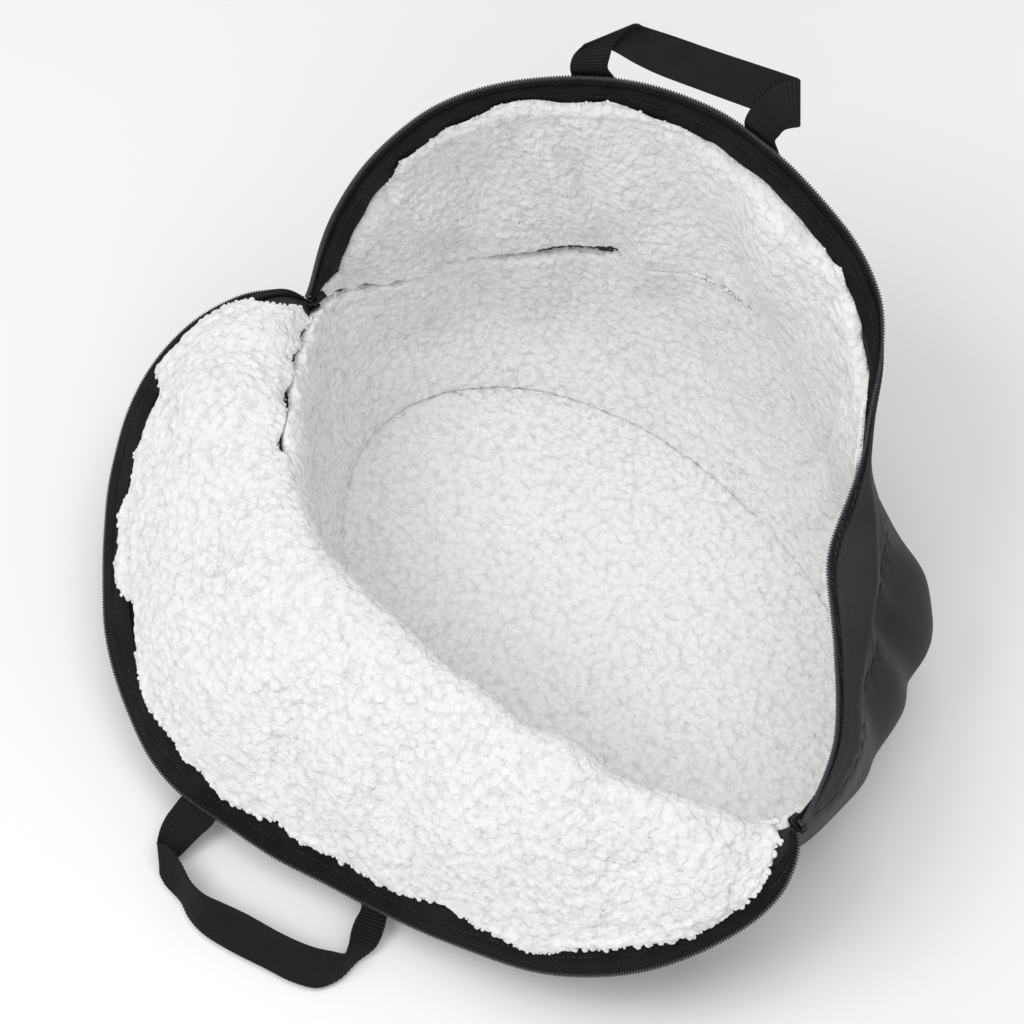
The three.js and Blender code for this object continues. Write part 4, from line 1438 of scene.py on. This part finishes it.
def tub_fleece_depth(table, turns, lengths):
    """The face of the tub's fleece: its body, folds and pile, thinned at the seam."""
    run = fleece_runs[id(table)]
    u = np.broadcast_to(run[:, None], lengths.shape)
    pile = pile_height(u, lengths, tub_seed, around=fleece_round)
    to_top = lengths[:, -1:] - lengths
    open_share = np.clip(seam_opening(turns, run, tub_seed) / 0.0012, 0, 1)[:, None]
    rounded = edge_profile(to_top, 0.0013 + 0.0025 * open_share, 0.8 - 0.7 * open_share)
    full = fleece_thickness + lining_folds(table, turns, lengths) + pile
    return fleece_depth + fleece_lay + full * rounded


face = tub_grid(fleece_columns, tub_fleece_lengths(tub_fleece_shares), tub_fleece_depth)
under = tub_grid(
    fleece_columns, tub_fleece_lengths(np.linspace(0, 1, 6)), lambda t, a, l: fleece_depth + 0 * l
)
rise = np.broadcast_to(tub_fleece_shares * fleece_height, face.shape[:2])
tub_fleece = sheet_object("tub_sherpa", face, under, fleece_run, rise, wraps=True)
tub_fleece.data.materials.append(sherpa)
seam_sides = []
for side, table, seed in (("front", front, 61), ("back", rear, 67)):
    seam_sides.append(
        edge_tufts(
            "tub_sherpa_seam_" + side,
            table,
            lambda t: lining_seam(table, t) - seam_curl_inset - seam_opening(t, 0 * t, tub_seed),
            lambda t: curl_depth(
                0.6 * fleece_thickness + lining_folds(table, t, lining_seam(table, t)[:, None])[:, 0]
            ),
            seed,
            seam_curl_pitch,
            seam_curl_share,
        )
    )
join_into(tub_fleece, seam_sides)
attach(tub_fleece, "root")
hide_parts("tub_lining")

base_fleece = disc_object(
    "base_sherpa",
    foot_outline(nylon_thickness + 2 * clearance),
    base_thickness + clearance,
    base_thickness + clearance + fleece_thickness,
    260,
    lambda x, y: pile_height(x + 0.5, y + 0.5, 47),
)
base_fleece.data.materials.append(sherpa)
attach(base_fleece, "root")
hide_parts("base_lining")

# Webbing handles
# Black polyester webbing 25 mm wide with cross ribs, one loop sewn by both ends to the outside
# of each half. Each end is held by a box of stitches.
webbing_width = 0.025
webbing_thickness = 0.002
webbing_rib = 0.0021
webbing_rib_height = 0.0003
foot_top = 0.008
foot_bottom = 0.028
# the two edges of each loop above the rim, in millimetres
back_loop_edges = [
    ((-154.3, 109.7, 304.4), (-140.0, 125.8, 304.9)),
    ((-154.4, 111.1, 310.9), (-140.4, 127.3, 312.7)),
    ((-153.7, 113.3, 314.9), (-141.4, 130.8, 319.3)),
    ((-152.6, 118.2, 317.5), (-140.5, 146.4, 326.6)),
    ((-145.4, 128.4, 315.0), (-138.6, 149.4, 324.6)),
    ((-128.4, 136.4, 311.0), (-134.5, 152.6, 323.5)),
    ((-115.6, 141.1, 310.6), (-122.8, 158.9, 323.4)),
    ((-92.8, 152.7, 309.3), (-101.5, 170.2, 322.5)),
    ((-65.5, 167.7, 307.1), (-75.4, 185.4, 320.8)),
    ((-46.8, 178.2, 305.5), (-62.9, 192.2, 320.4)),
    ((-39.9, 180.9, 305.6), (-57.0, 194.3, 320.9)),
    ((-40.9, 177.3, 306.4), (-59.5, 187.4, 321.8)),
    ((-44.1, 174.4, 303.9), (-62.0, 178.1, 319.4)),
    ((-46.6, 173.0, 297.5), (-64.3, 169.8, 312.6)),
    ((-48.3, 172.2, 291.5), (-66.2, 165.2, 302.3)),
]
front_loop_edges = [
    ((-46.8, -273.1, 17.0), (-22.5, -264.1, 15.0)),
    ((-42.7, -283.7, 17.0), (-22.1, -274.9, 12.0)),
    ((-37.4, -291.6, 17.0), (-20.9, -289.1, 8.0)),
    ((-32.4, -295.7, 17.0), (-21.4, -303.0, 3.5)),
    ((-24.8, -293.2, 21.0), (-13.8, -305.4, 3.0)),
    ((-11.6, -293.6, 22.0), (-7.2, -305.0, 2.5)),
    ((2.9, -295.8, 22.0), (1.3, -304.4, 2.5)),
    ((13.4, -294.0, 21.0), (12.6, -306.5, 2.5)),
    ((23.2, -288.9, 20.0), (25.1, -305.8, 2.5)),
    ((37.1, -281.8, 19.0), (41.1, -300.7, 2.5)),
    ((61.0, -271.9, 18.0), (65.3, -290.0, 2.5)),
    ((77.0, -263.6, 18.0), (82.3, -282.3, 2.5)),
    ((87.0, -255.9, 18.0), (94.3, -273.1, 2.5)),
    ((93.0, -250.3, 18.0), (97.9, -260.8, 2.5)),
    ((90.1, -246.1, 18.0), (96.1, -246.5, 3.0)),
    ((84.4, -240.4, 18.0), (96.1, -231.9, 5.0)),
    ((79.5, -234.0, 17.0), (92.0, -222.8, 9.0)),
    ((74.9, -226.4, 15.0), (87.4, -216.2, 13.0)),
]

# a deep black strap whose cross ribs give its folds a low sheen
webbing, tree, shader = new_material("black polyester webbing", "#151516", 0.6)
shader.inputs["Specular IOR Level"].default_value = 0.2
place = node(tree, "ShaderNodeTexCoord")
wear = node(tree, "ShaderNodeTexNoise", {"Scale": 80.0, "Detail": 5.0}, {"Vector": place.outputs["Object"]})
shade = node(tree, "ShaderNodeValToRGB", links={"Fac": wear.outputs["Fac"]})
shade.color_ramp.elements[0].color = linear("#101011")
shade.color_ramp.elements[1].color = linear("#1c1c1e")
tree.links.new(shade.outputs["Color"], shader.inputs["Base Color"])
woven_bump(tree, shader, place.outputs["UV"], webbing_rib / 2, 0.0011, 0.00015, 0.6)


def smooth_path(places, count):
    """Centripetal curve through the places, with as many points between each two."""
    steps = len(places) - 1
    places = np.concatenate([[2 * places[0] - places[1]], places, [2 * places[-1] - places[-2]]])
    t = np.linspace(0, steps, count)
    k = np.minimum(t.astype(int), steps - 1)
    f = (t - k)[:, None]
    p0, p1, p2, p3 = places[k], places[k + 1], places[k + 2], places[k + 3]
    d0 = np.linalg.norm(p1 - p0, axis=1, keepdims=True) ** 0.5
    d1 = np.linalg.norm(p2 - p1, axis=1, keepdims=True) ** 0.5
    d2 = np.linalg.norm(p3 - p2, axis=1, keepdims=True) ** 0.5
    start = ((p1 - p0) / d0 - (p2 - p0) / (d0 + d1) + (p2 - p1) / d1) * d1
    stop = ((p2 - p1) / d1 - (p3 - p1) / (d1 + d2) + (p3 - p2) / d2) * d1
    curve = p1 + start * f + (-3 * p1 + 3 * p2 - 2 * start - stop) * f**2
    return curve + (2 * p1 - 2 * p2 + start + stop) * f**3


def handle_object(name, table, feet, foot_gap, loop_edges):
    """A strap from one foot to the other; each foot is its turn and which way its first edge lies."""

    def foot_edges(turn, way, below):
        degree = np.array([turn, turn + 1])
        rim = on_shell(table, degree, value_at(table, "total", degree)[:, None])[0][:, 0]
        rim_step = np.linalg.norm(np.diff(rim, axis=0))
        edge_turn = webbing_width / 2 / rim_step
        around = turn + edge_turn * np.array([-1, -0.5, 0, 0.5, 1])
        length = value_at(table, "total", around) - below
        points, inward = on_shell(table, around, length[:, None])
        points, inward = points[:, 0], inward[:, 0]
        swell = max(0, max(np.dot(points[2] - p, inward[2]) for p in points))
        centre = points[2] - inward[2] * (foot_gap + webbing_thickness / 2 + swell)
        across = unit(points[3] - points[1]) * way * webbing_width / 2
        return centre + across, centre - across

    belows = (foot_bottom, (foot_bottom + foot_top) / 2, foot_top)
    left_foot, right_foot = feet
    stations = [foot_edges(*left_foot, below) for below in belows]
    stations += [(np.array(first) / 1000, np.array(second) / 1000) for first, second in loop_edges]
    stations += [foot_edges(*right_foot, below) for below in belows[::-1]]
    first_edge = smooth_path(np.array([a for a, b in stations]), 1200)
    second_edge = smooth_path(np.array([b for a, b in stations]), 1200)
    centre = (first_edge + second_edge) / 2
    side = (first_edge - second_edge) / webbing_width
    run = np.concatenate([[0], np.linalg.norm(np.diff(centre, axis=0), axis=1).cumsum()])
    steps = int(run[-1] / (webbing_rib / 6))
    even = np.linspace(0, run[-1], steps)
    centre = np.stack([np.interp(even, run, centre[:, i]) for i in range(3)], -1)
    side = np.stack([np.interp(even, run, side[:, i]) for i in range(3)], -1)
    tangent = unit(np.gradient(centre, axis=0))
    through = unit(np.cross(tangent, side))
    ribs = webbing_rib_height * np.sin(2 * np.pi * even / webbing_rib)
    profile = [(-1, 0), (-0.985, 0.7), (-0.94, 1), (-0.5, 1), (0, 1), (0.5, 1), (0.94, 1), (0.985, 0.7)]
    profile += [(-a, -b) for a, b in profile]
    rings = []
    uvs = []
    for a, b in profile:
        height = b * (webbing_thickness / 2 - webbing_rib_height) + np.sign(b) * ribs * abs(b)
        rings.append(centre + side * (a * webbing_width / 2) + through * height[:, None])
        uvs.append(a * webbing_width / 2)
    verts = np.stack(rings, 1)
    verts[..., 2] = np.maximum(verts[..., 2], 0.0)
    count = len(profile)
    faces = []
    coords = []
    for i in range(steps - 1):
        for k in range(count):
            n = (k + 1) % count
            faces.append((i * count + k, i * count + n, (i + 1) * count + n, (i + 1) * count + k))
            coords += [(even[i], uvs[k]), (even[i], uvs[n]), (even[i + 1], uvs[n]), (even[i + 1], uvs[k])]
    faces.append(list(range(count))[::-1])
    faces.append([(steps - 1) * count + k for k in range(count)])
    coords += [(0, 0)] * (2 * count)
    points = verts.reshape(-1, 3)
    tri = points[np.array(faces[:-2])[:, :3]]
    if np.einsum("ij,ij->i", tri[:, 0], np.cross(tri[:, 1], tri[:, 2])).sum() < 0:
        faces = [list(face)[::-1] for face in faces]
        coords = [c for i in range(0, len(coords) - 2 * count, 4) for c in coords[i : i + 4][::-1]]
        coords += [(0, 0)] * (2 * count)
    mesh = bpy.data.meshes.new(name)
    mesh.from_pydata(points.tolist(), [], faces)
    layer = mesh.uv_layers.new(name="UVMap")
    layer.data.foreach_set("uv", np.array(coords, np.float32).ravel())
    mesh.shade_smooth()
    mesh.materials.append(webbing)
    made = bpy.data.objects.new(name, mesh)
    bpy.context.collection.objects.link(made)
    rows = []
    foot_length = foot_bottom - foot_top
    for start, way in ((0.0015, 1), (run[-1] - 0.0015, -1)):
        box = []
        inset = webbing_width / 2 - 0.003
        reach = foot_length - 0.003
        for s in np.arange(0, reach, 0.0028):
            box += [(s, inset, 0), (s, -inset, 0)]
            box += [(s, inset * (1 - 2 * s / reach), 1), (s, -inset * (1 - 2 * s / reach), 1)]
        for a in np.arange(-inset, inset + 0.0001, 0.0028):
            box += [(0, a, 2), (reach, a, 2)]
        rows += [(start + way * s, a, kind) for s, a, kind in box]
    rows = np.array(rows)
    spot = np.stack([np.interp(rows[:, 0], even, centre[:, i]) for i in range(3)], -1)
    across = unit(np.stack([np.interp(rows[:, 0], even, side[:, i]) for i in range(3)], -1))
    lengthwise = unit(np.stack([np.interp(rows[:, 0], even, tangent[:, i]) for i in range(3)], -1))
    normal = unit(np.cross(lengthwise, across))
    for turn, _ in feet:
        at = np.array([turn])
        inward = on_shell(table, at, value_at(table, "total", at)[:, None])[1][0, 0]
        near = (rows[:, 0] < run[-1] / 2) == (turn == left_foot[0])
        normal[near] *= -np.sign(np.sum(normal[near][0] * inward))
    spot = spot + across * rows[:, 1:2] + normal * (webbing_thickness / 2)
    way = np.where(rows[:, 2:3] == 2, across, lengthwise)
    slant = unit(lengthwise * 0.62 + across * 0.78)
    way = np.where(rows[:, 2:3] == 1, slant, way)
    stitches = repeat_along(name + "_stitches", spot, way, normal, stitch_size, thread, (6, 4))
    join_into(made, [stitches])
    return made


back_feet = ((122.8, 1), (97.3, -1))
front_feet = ((265.6, -1), (290.9, -1))
back_handle = handle_object("back_handle_webbing", rear, back_feet, 0.0019, back_loop_edges)
front_handle = handle_object("front_handle_webbing", front, front_feet, 0.0005, front_loop_edges)
for handle, node_name in ((back_handle, "back_handle"), (front_handle, "front_handle")):
    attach(handle, "root")
    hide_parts(node_name)

# Zip sliders
# Die-cast sliders with a black enamel coat, one at each end of the zip: two wings joined by a
# post at the wide end, and a small bridge on top for a puller.
slider_length = 0.011
slider_width = 0.0076
slider_thickness = 0.0046
slider_nose = 0.006
bail_width = 0.0030
bail_height = 0.0030
slider_tilt = math.radians(38)

# smooth dark enamel with small hard glints, worn a little unevenly
enamel, tree, shader = new_material("black enamelled die-cast zinc", "#202022", 0.28)
shader.inputs["Metallic"].default_value = 0.6
place = node(tree, "ShaderNodeTexCoord")
rub = node(tree, "ShaderNodeTexNoise", {"Scale": 600.0, "Detail": 3.0}, {"Vector": place.outputs["Object"]})
rough = node(tree, "ShaderNodeMapRange", {"To Min": 0.2, "To Max": 0.42}, {"Value": rub.outputs["Fac"]})
tree.links.new(rough.outputs["Result"], shader.inputs["Roughness"])


def prism(outline, low, high):
    """The points and faces of a flat outline between two heights."""
    count = len(outline)
    points = [(x, y, low) for x, y in outline] + [(x, y, high) for x, y in outline]
    faces = [[count - 1 - k for k in range(count)], [count + k for k in range(count)]]
    for k in range(count):
        n = (k + 1) % count
        faces.append([k, n, count + n, count + k])
    return points, faces


def slider_object(name, place, flipped):
    """One zip slider at its place, turned round for the left end."""
    half = slider_length / 2
    wide, nose = slider_width / 2, slider_nose / 2
    wing = [(-half, -wide * 0.8), (-half * 0.7, -wide), (0, -wide)]
    wing += [(half * 0.8, -nose), (half, -nose * 0.7)]
    wing += [(x, -y) for x, y in wing[::-1]]
    plate = slider_thickness * 0.3
    over = slider_thickness / 2
    post = [(-0.4 * half, -0.0013), (0.75 * half, -0.001)]
    post += [(x, -y) for x, y in post[::-1]]
    parts = [
        prism(wing, -over, -over + plate),
        prism(wing, over - plate, over),
        prism(post, -over + plate * 0.5, over - plate * 0.5),
    ]
    arch = []
    reach = slider_length * 0.34
    for k in range(9):
        angle = math.pi * k / 8
        arch.append((reach * math.cos(angle), over + bail_height * math.sin(angle) ** 0.7))
    inner = [(x * 0.66, over + (z - over) * 0.6 - 0.0003) for x, z in arch]
    count = len(arch)
    points = []
    for y in (-bail_width / 2, bail_width / 2):
        points += [(x, y, z) for x, z in arch] + [(x, y, z) for x, z in inner]
    faces = []
    for k in range(count - 1):
        faces.append([k, k + 1, count + k + 1, count + k])
        faces.append([3 * count + k, 3 * count + k + 1, 2 * count + k + 1, 2 * count + k])
        faces.append([2 * count + k, 2 * count + k + 1, k + 1, k])
        faces.append([count + k, count + k + 1, 3 * count + k + 1, 3 * count + k])
    faces.append([0, count, 3 * count, 2 * count])
    faces.append([2 * count - 1, count - 1, 3 * count - 1, 4 * count - 1])
    parts.append((points, faces))
    tilt = math.cos(slider_tilt), math.sin(slider_tilt)
    all_points, all_faces = [], []
    for points, faces in parts:
        start = len(all_points)
        for x, y, z in points:
            px, pz = x * tilt[0] + z * tilt[1], -x * tilt[1] + z * tilt[0]
            if flipped:
                px, y = -px, -y
            all_points.append((px + place[0], y + place[1], pz + place[2]))
        all_faces += [[start + k for k in face] for face in faces]
    mesh = bpy.data.meshes.new(name)
    mesh.from_pydata(all_points, [], all_faces)
    mesh.shade_smooth()
    mesh.materials.append(enamel)
    made = bpy.data.objects.new(name, mesh)
    bpy.context.collection.objects.link(made)
    bevel = made.modifiers.new("rounded edges", "BEVEL")
    bevel.width = 0.0005
    bevel.segments = 3
    bevel.limit_method = "ANGLE"
    graph = bpy.context.evaluated_depsgraph_get()
    plain = bpy.data.meshes.new_from_object(made.evaluated_get(graph))
    made.modifiers.clear()
    made.data = plain
    plain.set_sharp_from_angle(angle=math.radians(45))
    return made


for name, turn, flipped, node_name in (
    ("left_slider_casting", 191.0, True, "left_slider"),
    ("right_slider_casting", 349.0, False, "right_slider"),
):
    at = np.array([turn])
    seat = on_shell(front, at, value_at(front, "seam", at)[:, None])[0][0, 0]
    lift = slider_thickness / 2 / math.cos(slider_tilt) + clearance
    slider = slider_object(name, (seat[0], seat[1], seat[2] + lift), flipped)
    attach(slider, "root")
    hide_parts(node_name)
